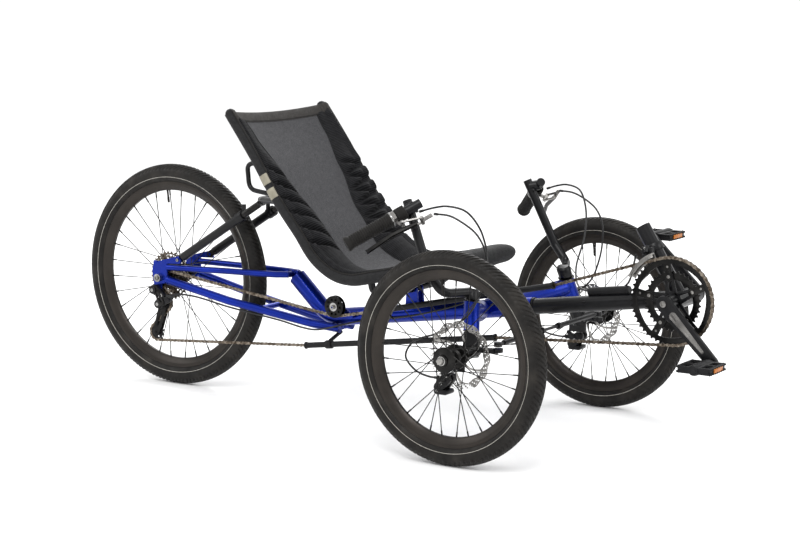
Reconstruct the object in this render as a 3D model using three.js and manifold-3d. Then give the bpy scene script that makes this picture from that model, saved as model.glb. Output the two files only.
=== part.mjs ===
// Recumbent tadpole tricycle for an adult: two steered front wheels, one driven rear wheel.
// Millimetres. +X forward, +Y to the rider's left, +Z up. The ground is Z = 0.
// Shapes are laid out from the front axle line and moved once, at the end, to the middle of the length.
import * as THREE from 'three';
import { mergeVertices } from 'three/addons/utils/BufferGeometryUtils.js';
import Module from 'manifold-3d';

const wasm = await Module();
wasm.setup();

// ---------- driving dimensions ----------
const WHEELBASE = 1101.4;
const TRACK = 741.2;
const CENTRE_X = -416.5;            // middle of the trike's length, from the front axle
const FRONT_BEAD_R = 203;           // 20 inch rim, 406 mm bead seat
const REAR_BEAD_R = 253.5;          // 24 inch rim, 507 mm bead seat
const FRONT_TYRE_R = 247.5;
const REAR_TYRE_R = 301.6;
const TYRE_HALF_W = 23;
const SPOKE_COUNT = 8;              // each stands for four of the real 32
const WHEEL_SIDES = 24;
const GAP = 0.3;                    // between touching pieces

const BB = { x: 395, z: 370 };      // crank axis
const BEAM_SLOPE = 0.1405;          // rise of the main beam per mm forward
const BEAM_R = 22.25;
const BEAM_SIDES = 12;
const BOOM_R = 19;
const TUBE_WALL = 2.2;
const POST_LENGTH = 190;
const POST_LEAN = 0.5585;           // derailleur post, radians back from vertical
const POST_R = 18;

const CRANK_LENGTH = 172.5;
const CRANK_ANGLE = -0.794;         // right arm below the horizontal, radians
const PEDAL_Y = 150;
const CHAIN_PITCH = 12.7;
const LARGE_RING_TEETH = 50;
const SMALL_RING_TEETH = 34;
const CHAINLINE_Y = -49.8;
const COG_TEETH = [32, 28, 24, 21, 18, 15, 13, 11];
const COG_PITCH_Y = 4.8;
const FIRST_COG_Y = -27.9;
const COG = COG_TEETH.length - 1;   // the smallest, which the chain is on
const COG_Y = FIRST_COG_Y - COG_PITCH_Y * COG;
const PULLEY_TEETH = 11;
const IDLER = { x: -540, z: 271, r: 28.5 };
const GUIDE = { x: -1092, z: 232 };
const TENSION = { x: -1121, z: 150 };

const HEAD = { x: -20, y: 241, z: 322 };   // middle of each head tube
const CASTER = 0.1745;
const KINGPIN_LEAN = 0.314;
const HEAD_HALF = 36;
const HEAD_R = 19;
const KINGPIN_R = 9;
const ARM_TIP = { x: 56, y: 250, z: 254 };
const TIE_ROD_Z = 267;

const HUB_END_Y = 38;               // front hub's outer face from the wheel's middle plane
const ROTOR_Y = 326;
const ROTOR_R = 80;

const STRUT_Y = 66;
const STRUT_LOW = { x: -1037, z: 354 };
const STRUT_HIGH = { x: -757, z: 527 };
const SEAT_PIVOT = { x: -330, z: 331 };
const SEAT_PIVOT_R = 9;
const RAIL_Y = 197;
const RAIL_R = 11;

// ---------- materials ----------
const finish = (color, roughness, metalness) =>
  new THREE.MeshStandardMaterial({ color, roughness, metalness });
const BLUE_PAINT = finish(0x0a20b4, 0.25, 0.1);
const SATIN_BLACK = finish(0x16171a, 0.45, 0.3);
const BLACK_PLASTIC = finish(0x111113, 0.6, 0);
const BLACK_RUBBER = finish(0x1b1a19, 0.85, 0);
const TYRE_RUBBER = finish(0x2b2724, 0.9, 0);
const RIM_BLACK = finish(0x3a3533, 0.5, 0.4);
const STEEL = finish(0xb5b2ab, 0.3, 0.9);
const CHAIN_STEEL = finish(0x8f8375, 0.4, 0.85);
const SEAT_CLOTH = finish(0x2a2b2e, 0.95, 0);

// ---------- solids ----------
const v2 = (x, y) => new THREE.Vector2(x, y);
const v3 = (x, y, z) => new THREE.Vector3(x, y, z);

// Position-only geometry with shared vertices, no collapsed triangles, faces outward.
function closed(geometry) {
  geometry.deleteAttribute('normal');
  geometry.deleteAttribute('uv');
  const merged = mergeVertices(geometry, 1e-4);
  const p = merged.getAttribute('position');
  const index = merged.getIndex().array;
  const kept = [];
  let volume = 0;
  const a = v3(0, 0, 0);
  const b = v3(0, 0, 0);
  const c = v3(0, 0, 0);
  for (let i = 0; i < index.length; i += 3) {
    const [u, v, w] = [index[i], index[i + 1], index[i + 2]];
    if (u === v || v === w || u === w) continue;
    a.fromBufferAttribute(p, u);
    b.fromBufferAttribute(p, v);
    c.fromBufferAttribute(p, w);
    volume += a.dot(b.cross(c));
    kept.push(u, v, w);
  }
  if (volume < 0) kept.reverse();
  merged.setIndex(kept);
  return merged;
}

function toSolid(geometry) {
  const g = closed(geometry);
  return new wasm.Manifold(new wasm.Mesh({
    numProp: 3,
    vertProperties: new Float32Array(g.getAttribute('position').array),
    triVerts: new Uint32Array(g.getIndex().array),
  }));
}

function toGeometry(solid) {
  const mesh = solid.getMesh();
  const g = new THREE.BufferGeometry();
  g.setAttribute('position', new THREE.BufferAttribute(new Float32Array(mesh.vertProperties), 3));
  g.setIndex(Array.from(mesh.triVerts));
  return g;
}

const join = (...parts) => toGeometry(parts.map(toSolid).reduce((all, next) => all.add(next)));

function cut(base, ...tools) {
  return toGeometry(tools.map(toSolid).reduce((left, tool) => left.subtract(tool), toSolid(base)));
}

// A route through given stations, with a steady sideways direction for its section.
class Route extends THREE.Curve {
  constructor(stations, side = v3(0, 1, 0)) {
    super();
    this.stations = stations;
    this.side = side;
  }

  getPoint(t, target = v3(0, 0, 0)) {
    const last = this.stations.length - 1;
    const at = Math.min(Math.max(t, 0), 1) * last;
    const i = Math.min(Math.floor(at + 1e-9), last - 1);
    return target.lerpVectors(this.stations[i], this.stations[i + 1], at - i);
  }

  getPointAt(u, target) {
    return this.getPoint(u, target);
  }

  tangentAtStation(i) {
    const s = this.stations;
    const before = s[Math.max(i - 1, 0)];
    const after = s[Math.min(i + 1, s.length - 1)];
    const back = s[i].clone().sub(before).normalize();
    const ahead = after.clone().sub(s[i]).normalize();
    return back.add(ahead).normalize();
  }

  computeFrenetFrames(steps) {
    const frames = { tangents: [], normals: [], binormals: [] };
    for (let i = 0; i <= steps; i++) {
      const tangent = this.tangentAtStation(i);
      const normal = this.side.clone().cross(tangent).normalize();
      frames.tangents.push(tangent);
      frames.normals.push(normal);
      frames.binormals.push(tangent.clone().cross(normal));
    }
    return frames;
  }
}

function circleShape(r, sides, holeR = 0) {
  const ring = (radius) => Array.from({ length: sides }, (_, i) => {
    const angle = (i / sides) * 2 * Math.PI;
    return v2(radius * Math.cos(angle), radius * Math.sin(angle));
  });
  const shape = new THREE.Shape(ring(r));
  if (holeR > 0) shape.holes.push(new THREE.Path(ring(holeR).reverse()));
  return shape;
}

// Corners of a run of points rounded by arcs of one radius, each of a few short steps.
function rounded(points, radius, steps = 4) {
  const out = [points[0].clone()];
  for (let i = 1; i < points.length - 1; i++) {
    const here = points[i];
    const back = points[i - 1].clone().sub(here);
    const ahead = points[i + 1].clone().sub(here);
    const half = back.angleTo(ahead) / 2;
    const reach = Math.min(radius / Math.tan(half), 0.49 * back.length(), 0.49 * ahead.length());
    const from = here.clone().add(back.setLength(reach));
    const to = here.clone().add(ahead.setLength(reach));
    const bend = new THREE.QuadraticBezierCurve3(from, here, to);
    for (let k = 0; k <= steps; k++) out.push(bend.getPoint(k / steps));
  }
  out.push(points[points.length - 1].clone());
  return out;
}

function sweep(shape, stations, side) {
  return new THREE.ExtrudeGeometry(shape, {
    steps: stations.length - 1,
    bevelEnabled: false,
    extrudePath: new Route(stations, side),
  });
}

const rod = (stations, r, sides = 12, holeR = 0, side) =>
  sweep(circleShape(r, sides, holeR), stations, side);

// Smooth free curve through a hand-picked run of points.
const smooth = (points, steps) =>
  new THREE.CatmullRomCurve3(points, false, 'centripetal').getSpacedPoints(steps);

// Revolved about the Y axis through (x, z): profile pairs are [radius, y].
function revolved(profile, sides, x, z) {
  const g = new THREE.LatheGeometry(profile.map(([r, y]) => v2(r, y)), sides);
  return g.translate(x, 0, z);
}

// Pin or bush along Y.
const pinY = (r, y0, y1, x, z, sides = 16) =>
  new THREE.CylinderGeometry(r, r, Math.abs(y1 - y0), sides).translate(x, (y0 + y1) / 2, z);

const box = (x0, x1, y0, y1, z0, z1) =>
  new THREE.BoxGeometry(x1 - x0, y1 - y0, z1 - z0)
    .translate((x0 + x1) / 2, (y0 + y1) / 2, (z0 + z1) / 2);

// Outline in the X-Z plane, thickened along Y.
function plateXZ(points, y0, y1, holes = []) {
  const shape = new THREE.Shape(points.map(([x, z]) => v2(x, z)));
  for (const hole of holes) shape.holes.push(new THREE.Path(hole.map(([x, z]) => v2(x, z))));
  const g = new THREE.ExtrudeGeometry(shape, { depth: Math.abs(y1 - y0), bevelEnabled: false });
  return g.rotateX(Math.PI / 2).translate(0, Math.max(y0, y1), 0);
}

// Two round ends of different size joined by straight flanks.
function taperedOutline(x0, z0, r0, x1, z1, r1, steps = 6) {
  const along = Math.atan2(z1 - z0, x1 - x0);
  const open = Math.acos((r0 - r1) / Math.hypot(x1 - x0, z1 - z0));
  const points = [];
  for (let i = 0; i <= steps; i++) {
    const angle = along + open + (i / steps) * (2 * Math.PI - 2 * open);
    points.push([x0 + r0 * Math.cos(angle), z0 + r0 * Math.sin(angle)]);
  }
  for (let i = 0; i <= steps; i++) {
    const angle = along - open + (i / steps) * 2 * open;
    points.push([x1 + r1 * Math.cos(angle), z1 + r1 * Math.sin(angle)]);
  }
  return points;
}

const ringPoints = (x, z, r, sides, turn = 0) => Array.from({ length: sides }, (_, i) => {
  const angle = turn + (i / sides) * 2 * Math.PI;
  return [x + r * Math.cos(angle), z + r * Math.sin(angle)];
});

const trike = new THREE.Group();
trike.position.x = -CENTRE_X;

function piece(name, geometry, material) {
  const mesh = new THREE.Mesh(closed(geometry), material);
  mesh.name = name;
  trike.add(mesh);
}

const beamZ = (x) => BB.z - BEAM_SLOPE * (BB.x - x);
const beamPoint = (x) => v3(x, 0, beamZ(x));
const pitchRadius = (teeth) => CHAIN_PITCH / (2 * Math.sin(Math.PI / teeth));
const SIDES = [['right', -1], ['left', 1]];

// ---------- main beam and its riser ----------
const RISER_TOP = v3(-694.5, 0, 329);
const HANGER_TOP = 198;             // of the return tube's hanger, under the beam
function makeMainTube() {
  const stations = [
    beamPoint(10), ...rounded([beamPoint(-300), beamPoint(-590), RISER_TOP], 90, 5),
  ];
  const tube = rod(stations, BEAM_R, BEAM_SIDES);
  const pinch = box(-34, 6, -7, 7, beamZ(-14) - BEAM_R - 14, beamZ(-14) - BEAM_R + 1.5);
  const ears = [-1, 1].map((side) => plateXZ(
    taperedOutline(SEAT_PIVOT.x, beamZ(SEAT_PIVOT.x), 20, SEAT_PIVOT.x, SEAT_PIVOT.z, 15, 4),
    side * 10, side * 16));
  const seat = pinY(SEAT_PIVOT_R + 0.9, -20, 20, SEAT_PIVOT.x, SEAT_PIVOT.z, 12);
  const tab = plateXZ(taperedOutline(IDLER.x, IDLER.z, 8, -506, beamZ(-506) + 4, 8, 4), -31, -35);
  const tabRoot = box(-516, -496, -35, -BEAM_R + 4, beamZ(-506), beamZ(-506) + 9);
  const bolt = pinY(4, -33, -62, IDLER.x, IDLER.z, 10);
  const bore = rod([beamPoint(12), beamPoint(-290)], BEAM_R - TUBE_WALL - 1, BEAM_SIDES);
  const hangerTab = box(-565, -549, -4, 4, HANGER_TOP + 5.6, 218);
  const all = join(tube, pinch, ...ears, tab, tabRoot, bolt, hangerTab);
  piece('main_tube', cut(all, bore, seat), BLUE_PAINT);
}

// ---------- cross arms with their head tubes ----------
const kingpinUp = (side) => v3(-Math.tan(CASTER), -side * Math.tan(KINGPIN_LEAN), 1).normalize();
const headPoint = (side, t) => v3(HEAD.x, side * HEAD.y, HEAD.z).addScaledVector(kingpinUp(side), t);
const X_SIDE = v3(1, 0, 0);

function makeCrossArm(word, side) {
  const root = v3(-128, side * (BEAM_R + GAP + 2), beamZ(-128) + 1);
  const stations = rounded([
    root,
    v3(-104, side * 70, beamZ(-128) + 4),
    v3(-24, side * (HEAD.y - 14), HEAD.z - 3),
  ], 60, 2);
  const arm = cut(rod(stations, 23, 12, 0, v3(0, 0, 1)),
    rod([beamPoint(60), beamPoint(-320)], BEAM_R + GAP, BEAM_SIDES));
  const head = rod([headPoint(side, -HEAD_HALF), headPoint(side, HEAD_HALF)], HEAD_R, 12, 0, X_SIDE);
  const bore = rod([headPoint(side, -90), headPoint(side, 90)], KINGPIN_R + 0.5, 12, 0, X_SIDE);
  piece(`cross_arm_${word}`, cut(join(arm, head), bore), BLUE_PAINT);
}

// ---------- rear triangle ----------
const REAR = { x: -WHEELBASE, z: REAR_TYRE_R };
const DROPOUT_IN = 67.6;
const DROPOUT_OUT = 73.6;
function makeRearTriangle() {
  const half = (side) => [
    v3(-1074, side * 70, 331), v3(-900, side * 53, 334), v3(-742, side * 35, 335),
    v3(-707, side * 22, 336),
  ];
  const loop = [...half(-1), ...half(1).reverse()];
  piece('top_stays', rod(rounded(loop, 20, 2), 8, 10, 0, v3(0, 0, 1)), BLUE_PAINT);

  const stay = (side) => rod(rounded([
    v3(-540, side * 28, 211), v3(-620, side * 31, 216), v3(-874, side * 58, 256),
    v3(-1078, side * 70, 297),
  ], 160, 3), 10.5, 8, 0, v3(0, 0, 1));
  const bridge = rod([v3(-784, -47, 242), v3(-784, 47, 242)], 7, 8, 0, v3(0, 0, 1));
  const outline = [
    [-1126, 318], [-1121, 290], [-1100, 284], [-1080, 288], [-1075, 302], [-1075, 342],
    [-1030, 344], [-1027, 355], [-1037, 364], [-1076, 354], [-1104, 346], [-1123, 333],
  ];
  const hanger = [
    [-1121, 291], [-1120, 268], [-1112, 258], [-1101, 260], [-1097, 270], [-1096, 286],
  ];
  const plates = SIDES.map(([, side]) => plateXZ(outline, side * DROPOUT_IN, side * DROPOUT_OUT));
  const pins = SIDES.map(([, side]) =>
    pinY(4, side * 62.4, side * (DROPOUT_OUT - 1), STRUT_LOW.x, STRUT_LOW.z, 10));
  const tabs = SIDES.flatMap(([, side]) => [
    box(-1121, -1109, side * 67.7 - (side > 0 ? 0 : 5.8), side * 67.7 + (side > 0 ? 5.8 : 0), 331, 347),
  ]);
  const hangerPlate = plateXZ(hanger, -DROPOUT_IN, -DROPOUT_OUT);
  const whole = join(stay(-1), stay(1), bridge, ...plates, ...pins, ...tabs, hangerPlate);
  piece('lower_stays', cut(whole, pinY(5.4, -90, 90, REAR.x, REAR.z, 16)), BLUE_PAINT);
}

// ---------- boom, crank bearing ----------
const postPoint = (along) =>
  v3(BB.x - Math.sin(POST_LEAN) * along, 0, BB.z + Math.cos(POST_LEAN) * along);
function makeBoom() {
  const tube = rod([beamPoint(-110), beamPoint(BB.x - 8)], BOOM_R - GAP, BEAM_SIDES, BOOM_R - TUBE_WALL);
  const shell = pinY(21, -34, 34, BB.x, BB.z);
  const post = rod([postPoint(8), postPoint(POST_LENGTH)], POST_R, 12);
  const bore = pinY(17.6, -40, 40, BB.x, BB.z);
  piece('boom', cut(join(tube, shell, post), bore), SATIN_BLACK);
  const cups = revolved([
    [12.6, -42], [21, -42], [21, -34.3], [17, -34.3], [17, 34.3], [21, 34.3], [21, 42],
    [12.6, 42], [12.6, -42],
  ], 16, BB.x, BB.z);
  piece('bottom_bracket', cups, SATIN_BLACK);
}

// ---------- cranks, rings, pedals ----------
// A toothed ring stands as a disc to the tips of its teeth.
const TOOTH_TIP = 2.2;
const gearOutline = (teeth, x, z) => ringPoints(x, z, pitchRadius(teeth) + TOOTH_TIP, 32);

const RING_HALF = 1;
const SPIDER_Y = CHAINLINE_Y + RING_HALF + GAP;
function makeCrankset() {
  const tabs = ringPoints(0, 0, 1, 5, CRANK_ANGLE).map(([c, s]) => plateXZ(
    taperedOutline(BB.x + 53 * c, BB.z + 53 * s, 9, BB.x + 84 * c, BB.z + 84 * s, 8, 3),
    CHAINLINE_Y - RING_HALF, CHAINLINE_Y + RING_HALF));
  const large = plateXZ(gearOutline(LARGE_RING_TEETH, BB.x, BB.z),
    CHAINLINE_Y - RING_HALF, CHAINLINE_Y + RING_HALF,
    [ringPoints(BB.x, BB.z, 84, 20)]);
  piece('chainring_large', join(large, ...tabs), SATIN_BLACK);
  const smallY = SPIDER_Y + 3 + GAP;
  const small = plateXZ(gearOutline(SMALL_RING_TEETH, BB.x, BB.z), smallY, smallY + 2,
    [ringPoints(BB.x, BB.z, 50, 16)]);
  piece('chainring_small', small, SATIN_BLACK);

  const armEnd = { x: BB.x + CRANK_LENGTH * Math.cos(CRANK_ANGLE),
    z: BB.z + CRANK_LENGTH * Math.sin(CRANK_ANGLE) };
  const spider = ringPoints(0, 0, 1, 5, CRANK_ANGLE).map(([c, s]) => plateXZ(
    taperedOutline(BB.x, BB.z, 15, BB.x + 56 * c, BB.z + 56 * s, 8, 3), SPIDER_Y, SPIDER_Y + 3));
  const rightHub = pinY(19, SPIDER_Y + 3, -84, BB.x, BB.z);
  const rightArm = plateXZ(taperedOutline(BB.x, BB.z, 19, armEnd.x, armEnd.z, 14), -82, -95);
  const rightPin = pinY(6.5, -90, -195, armEnd.x, armEnd.z, 12);
  piece('crank_arm_right', join(rightHub, rightArm, rightPin, ...spider), SATIN_BLACK);

  const far = { x: 2 * BB.x - armEnd.x, z: 2 * BB.z - armEnd.z };
  const leftArm = plateXZ(taperedOutline(BB.x, BB.z, 19, far.x, far.z, 14), 82, 95);
  const leftPin = pinY(6.5, 90, 195, far.x, far.z, 12);
  const spindle = pinY(12, SPIDER_Y + 3 + GAP, 84, BB.x, BB.z);
  const leftHub = pinY(19, 44, 84, BB.x, BB.z);
  piece('crank_arm_left', join(leftHub, spindle, leftArm, leftPin), SATIN_BLACK);

  const windows = (x, y) => [[x + 15, x + 43], [x - 43, x - 15]]
    .map(([x0, x1]) => box(x0, x1, y - 36, y + 36, 0, 900));
  for (const [word, side] of SIDES) {
    const at = side < 0 ? armEnd : far;
    const y = side * PEDAL_Y;
    const slab = box(at.x - 50, at.x + 50, y - 44, y + 44, at.z - 9, at.z + 9);
    const barrel = pinY(12, y - 44, y + 44, at.x, at.z);
    const framed = cut(slab, ...windows(at.x, y));
    piece(`pedal_${word}`, cut(join(framed, barrel), pinY(7, y - 60, y + 60, at.x, at.z, 12)),
      BLACK_PLASTIC);
  }
}

// ---------- wheels ----------
function wheelParts(name, x, y, tyreR, beadR, hub, axleR) {
  const mid = tyreR - TYRE_HALF_W;
  const tyre = [[beadR + 1, -11]];
  for (let i = 0; i <= 4; i++) {
    const angle = (i / 4) * Math.PI;
    tyre.push([mid + TYRE_HALF_W * Math.sin(angle), -TYRE_HALF_W * Math.cos(angle)]);
  }
  tyre.push([beadR + 1, 11], [mid, 17], [mid + 17, 0], [mid, -17], [beadR + 1, -11]);
  const rimOuter = beadR - 0.5;
  const rim = [[rimOuter, -13], [rimOuter, 13], [rimOuter - 8, 12.4], [rimOuter - 22, 5],
    [rimOuter - 22, -5], [rimOuter - 8, -12.4], [rimOuter, -13]];
  const place = (g) => g.translate(0, y, 0);
  const centre = tyreR;
  piece(`${name}_tyre`, place(revolved(tyre, WHEEL_SIDES, x, centre)), TYRE_RUBBER);
  piece(`${name}_rim`, place(revolved(rim, WHEEL_SIDES, x, centre)), RIM_BLACK);

  const body = revolved([...hub.profile, hub.profile[0]], 10, x, centre);
  const spokes = [];
  const nippleR = (rimOuter - 22) * Math.cos(Math.PI / WHEEL_SIDES) - 0.5;
  for (let i = 0; i < SPOKE_COUNT; i++) {
    const outside = i % 2 === 0 ? 1 : -1;
    const lead = (i % 4 < 2 ? 1 : -1) * 0.62;
    const rimAngle = (i / SPOKE_COUNT) * 2 * Math.PI;
    const hubAngle = rimAngle + lead;
    const flange = outside > 0 ? hub.left : hub.right;
    spokes.push(rod([
      v3(x + hub.flangeR * Math.cos(hubAngle), flange, centre + hub.flangeR * Math.sin(hubAngle)),
      v3(x + nippleR * Math.cos(rimAngle), outside * 2, centre + nippleR * Math.sin(rimAngle)),
    ], 1.3, 3));
  }
  piece(`${name}_hub`, place(join(body, ...spokes)), STEEL);
}

function makeRearWheel() {
  const bore = 5.6;
  wheelParts('rear_wheel', REAR.x, 0, REAR_TYRE_R, REAR_BEAD_R, {
    flangeR: 24, left: 33, right: -19,
    profile: [[bore, -24], [13, -24], [26, -21], [26, -17], [14, -14], [14, 30], [26, 32],
      [26, 35], [12, 38], [12, 62], [bore, 62]],
  });
  const cassette = [[bore, FIRST_COG_Y + 2.6]];
  COG_TEETH.slice(0, -1).forEach((teeth, i) => {
    const y = FIRST_COG_Y - COG_PITCH_Y * i;
    const r = pitchRadius(teeth);
    cassette.push([r, y + 1], [r, y - 1]);
  });
  const smallR = pitchRadius(COG_TEETH[COG]);
  cassette.push([14, COG_Y + COG_PITCH_Y - 1], [14, COG_Y + 1], [smallR, COG_Y + 1],
    [smallR, COG_Y - 1], [14, COG_Y - 1], [bore, COG_Y - 2.6], cassette[0]);
  piece('cassette', revolved(cassette, 10, REAR.x, REAR.z), STEEL);
  const axle = join(pinY(4.9, -86, 86, REAR.x, REAR.z, 12), pinY(11, 74, 84, REAR.x, REAR.z, 12),
    pinY(11, -84, -74, REAR.x, REAR.z, 12));
  piece('rear_axle', axle, STEEL);
}

function makeFrontWheel(word, side) {
  const y = side * TRACK / 2;
  const bore = 6.6;
  const end = HUB_END_Y - 1;
  const profile = [[bore, -end], [14, -end], [16, -28], [28, -25], [28, -21], [13, -17],
    [13, 17], [28, 21], [28, 25], [16, 28], [14, end], [bore, end]];
  wheelParts(`front_wheel_${word}`, 0, y, FRONT_TYRE_R, FRONT_BEAD_R,
    { flangeR: 25.5, left: 23, right: -23, profile });
  const windows = ringPoints(0, 0, 1, 5).map(([c, s]) => {
    const turn = Math.atan2(s, c);
    return [[30, -0.3], [58, -0.36], [60, 0.2], [32, 0.36]].map(([r, a]) =>
      [r * Math.cos(turn + a), FRONT_TYRE_R + r * Math.sin(turn + a)]);
  });
  const edge = Array.from({ length: 20 }, (_, i) => {
    const angle = (i / 20) * 2 * Math.PI;
    const r = ROTOR_R - (i % 2 < 1 ? 0 : 3);
    return [r * Math.cos(angle), FRONT_TYRE_R + r * Math.sin(angle)];
  });
  const rotor = plateXZ(edge, side * ROTOR_Y - 1, side * ROTOR_Y + 1,
    [...windows, ringPoints(0, FRONT_TYRE_R, 17.5, 12)]);
  piece(`brake_rotor_${word}`, rotor, STEEL);
}

// ---------- steering: knuckle, handlebar, controls ----------
const BAR_FRONT = (side) => v3(-132, side * 287, 585);
const BAR_REAR = (side) => v3(-254, side * 414, 492);
const barPoint = (side, t) => BAR_FRONT(side).lerp(BAR_REAR(side), t);
const BAR_BORE = 12.1;              // of what is clamped round the bar, corner to corner
const LEVER_REACH = (side) => {
  const along = BAR_REAR(side).sub(BAR_FRONT(side)).normalize();
  const ahead = v3(1, 0, -0.2);
  return ahead.addScaledVector(along, -ahead.dot(along)).normalize();
};

function makeSteering(word, side) {
  const axleHeight = (FRONT_TYRE_R - HEAD.z) / kingpinUp(side).z;
  const axlePoint = headPoint(side, axleHeight);
  const kingpin = rod([headPoint(side, axleHeight), headPoint(side, 61)], KINGPIN_R, 12, 0, X_SIDE);
  const lug = rod([headPoint(side, axleHeight - 14), headPoint(side, -HEAD_HALF - GAP)],
    HEAD_R, 12, 0, X_SIDE);
  const boss = pinY(15, side * 255, side * 318, 0, FRONT_TYRE_R, 12);
  const axle = pinY(6, side * 300, side * (TRACK / 2 + HUB_END_Y + 2), 0, FRONT_TYRE_R, 12);
  const arm = rod([v3(axlePoint.x, side * 262, 250), v3(ARM_TIP.x, side * ARM_TIP.y, ARM_TIP.z - 3)],
    7, 8, 0, v3(0, 0, 1));
  const tip = new THREE.CylinderGeometry(12, 12, 9, 12).rotateX(Math.PI / 2)
    .translate(ARM_TIP.x, side * ARM_TIP.y, ARM_TIP.z - 1);
  const mount = box(-50, -4, Math.min(side * 296, side * 304), Math.max(side * 296, side * 304),
    205, 244);
  piece(`knuckle_${word}`, join(kingpin, lug, boss, axle, arm, tip, mount), SATIN_BLACK);

  const post = rounded([
    v3(-30, side * 232, 379), v3(-62, side * 300, 381), v3(-98, side * 304, 424),
    v3(-171, side * 284, 588),
  ], 26, 2);
  const upright = rod(post, 11, 8, 0, X_SIDE);
  const bar = rod([barPoint(side, 0), barPoint(side, 0.985)], 11, 8, 0, v3(0, 0, 1));
  const clamp = rod([v3(-166, side * 285, 572), v3(-143, side * 299, 576)], 13, 8, 0, v3(0, 0, 1));
  const stemLow = headPoint(side, HEAD_HALF + GAP);
  const stem = rod([stemLow, headPoint(side, HEAD_HALF + 26)], 18, 10, 0, X_SIDE);
  const socket = rod([headPoint(side, HEAD_HALF - 8), headPoint(side, 90)], KINGPIN_R + GAP, 12, 0,
    X_SIDE);
  const cap = rod([headPoint(side, 61.9), headPoint(side, 67)], 18, 10, 0, X_SIDE);
  const body = join(cut(join(stem, upright), socket), bar, clamp, cap);
  piece(`handlebar_${word}`, body, SATIN_BLACK);
  piece(`grip_${word}`, rod([barPoint(side, 0.4), barPoint(side, 1)], 16.5, 12, BAR_BORE,
    v3(0, 0, 1)), BLACK_RUBBER);

  const reach = LEVER_REACH(side);
  const at = (t, out) => barPoint(side, t).addScaledVector(reach, out);
  const hingeLine = reach.clone().cross(barPoint(side, 1).sub(barPoint(side, 0))).normalize();
  const off = (t, out, aside) => at(t, out).addScaledVector(hingeLine, aside);
  const collar = rod([barPoint(side, 0.335), barPoint(side, 0.385)], 16, 10, BAR_BORE,
    v3(0, 0, 1));
  const neck = rod([at(0.36, 13), at(0.33, 30)], 5, 6, 0, v3(0, 1, 0));
  const yoke = rod([off(0.32, 32, -11), off(0.32, 32, 11)], 5, 6, 0, v3(1, 0, 0));
  const cheeks = [-9, 9].map((aside) =>
    rod([off(0.32, 32, aside), off(0.1, 50, aside)], 3, 5, 0, v3(0, 1, 0)));
  const bridge = rod([off(0.11, 50, -11), off(0.11, 50, 11)], 5, 6, 0, v3(1, 0, 0));
  const barrel = rod([at(0.11, 50), at(-0.02, 50)], 5, 8, 0, v3(0, 1, 0));
  piece(`brake_lever_mount_${word}`, join(collar, neck, yoke, ...cheeks, bridge, barrel), STEEL);
  const blade = rod(rounded([at(0.18, 50), at(0.5, 44), at(0.86, 52)], 40, 2), 5.5, 8, 0,
    v3(0, 0, 1));
  piece(`brake_lever_${word}`, blade, STEEL);

  const drum = rod([barPoint(side, 0.205), barPoint(side, 0.325)], 17, 12, BAR_BORE, v3(0, 0, 1));
  piece(`shifter_${word}`, drum, BLACK_PLASTIC);

  const [near, farY] = [side * 306, side * 344].sort((a, b) => a - b);
  const caliper = box(-62, -18, near, farY, 158, 204);
  const slot = box(-90, 90, side * ROTOR_Y - 2.6, side * ROTOR_Y + 2.6, 140, 250);
  const back = box(-62, -18, near, farY, 154, 166);
  piece(`brake_caliper_${word}`, join(cut(caliper, slot), back), SATIN_BLACK);
}

// ---------- tie rod ----------
function makeTieRod() {
  const end = (side) => new THREE.CylinderGeometry(10, 10, 10, 10).rotateX(Math.PI / 2)
    .translate(ARM_TIP.x, side * ARM_TIP.y, TIE_ROD_Z);
  const along = (y0, y1, r, sides) => pinY(r, y0, y1, ARM_TIP.x, TIE_ROD_Z, sides);
  const thin = along(-ARM_TIP.y, ARM_TIP.y, 4, 6);
  const sleeve = (side) => along(side * 45, side * 225, 6.5, 8);
  const nut = (side) => along(side * 36, side * 44.9, 8.5, 6);
  piece('tie_rod', join(thin, end(-1), end(1), sleeve(-1), sleeve(1), nut(-1), nut(1)),
    SATIN_BLACK);
}

// ---------- chain, its guides and the derailleurs ----------
// Each stop is a circle the chain bends around, in the X-Z plane: turn -1 is clockwise seen
// from the drive side, +1 the other way; a stop of radius 0 is a point that it passes through.
const CHAIN_STOPS = [
  { x: BB.x, z: BB.z, r: pitchRadius(LARGE_RING_TEETH), turn: -1, y: CHAINLINE_Y },
  { x: -65, z: 240, r: 0, turn: -1, y: -52 },
  { x: -629, z: 162, r: 0, turn: -1, y: -54 },
  { x: TENSION.x, z: TENSION.z, r: pitchRadius(PULLEY_TEETH), turn: -1, y: COG_Y },
  { x: GUIDE.x, z: GUIDE.z, r: pitchRadius(PULLEY_TEETH), turn: 1, y: COG_Y },
  { x: REAR.x, z: REAR.z, r: pitchRadius(COG_TEETH[COG]), turn: -1, y: COG_Y },
  { x: IDLER.x, z: IDLER.z, r: 25, turn: 1, y: CHAINLINE_Y },
  { x: -423, z: 269, r: 0, turn: 1, y: CHAINLINE_Y },
  { x: 91, z: 381, r: 0, turn: -1, y: CHAINLINE_Y },
];

function tangentAngle(from, to) {
  const dx = to.x - from.x;
  const dz = to.z - from.z;
  return Math.atan2(dz, dx) - Math.asin((to.turn * to.r - from.turn * from.r) / Math.hypot(dx, dz));
}

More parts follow.
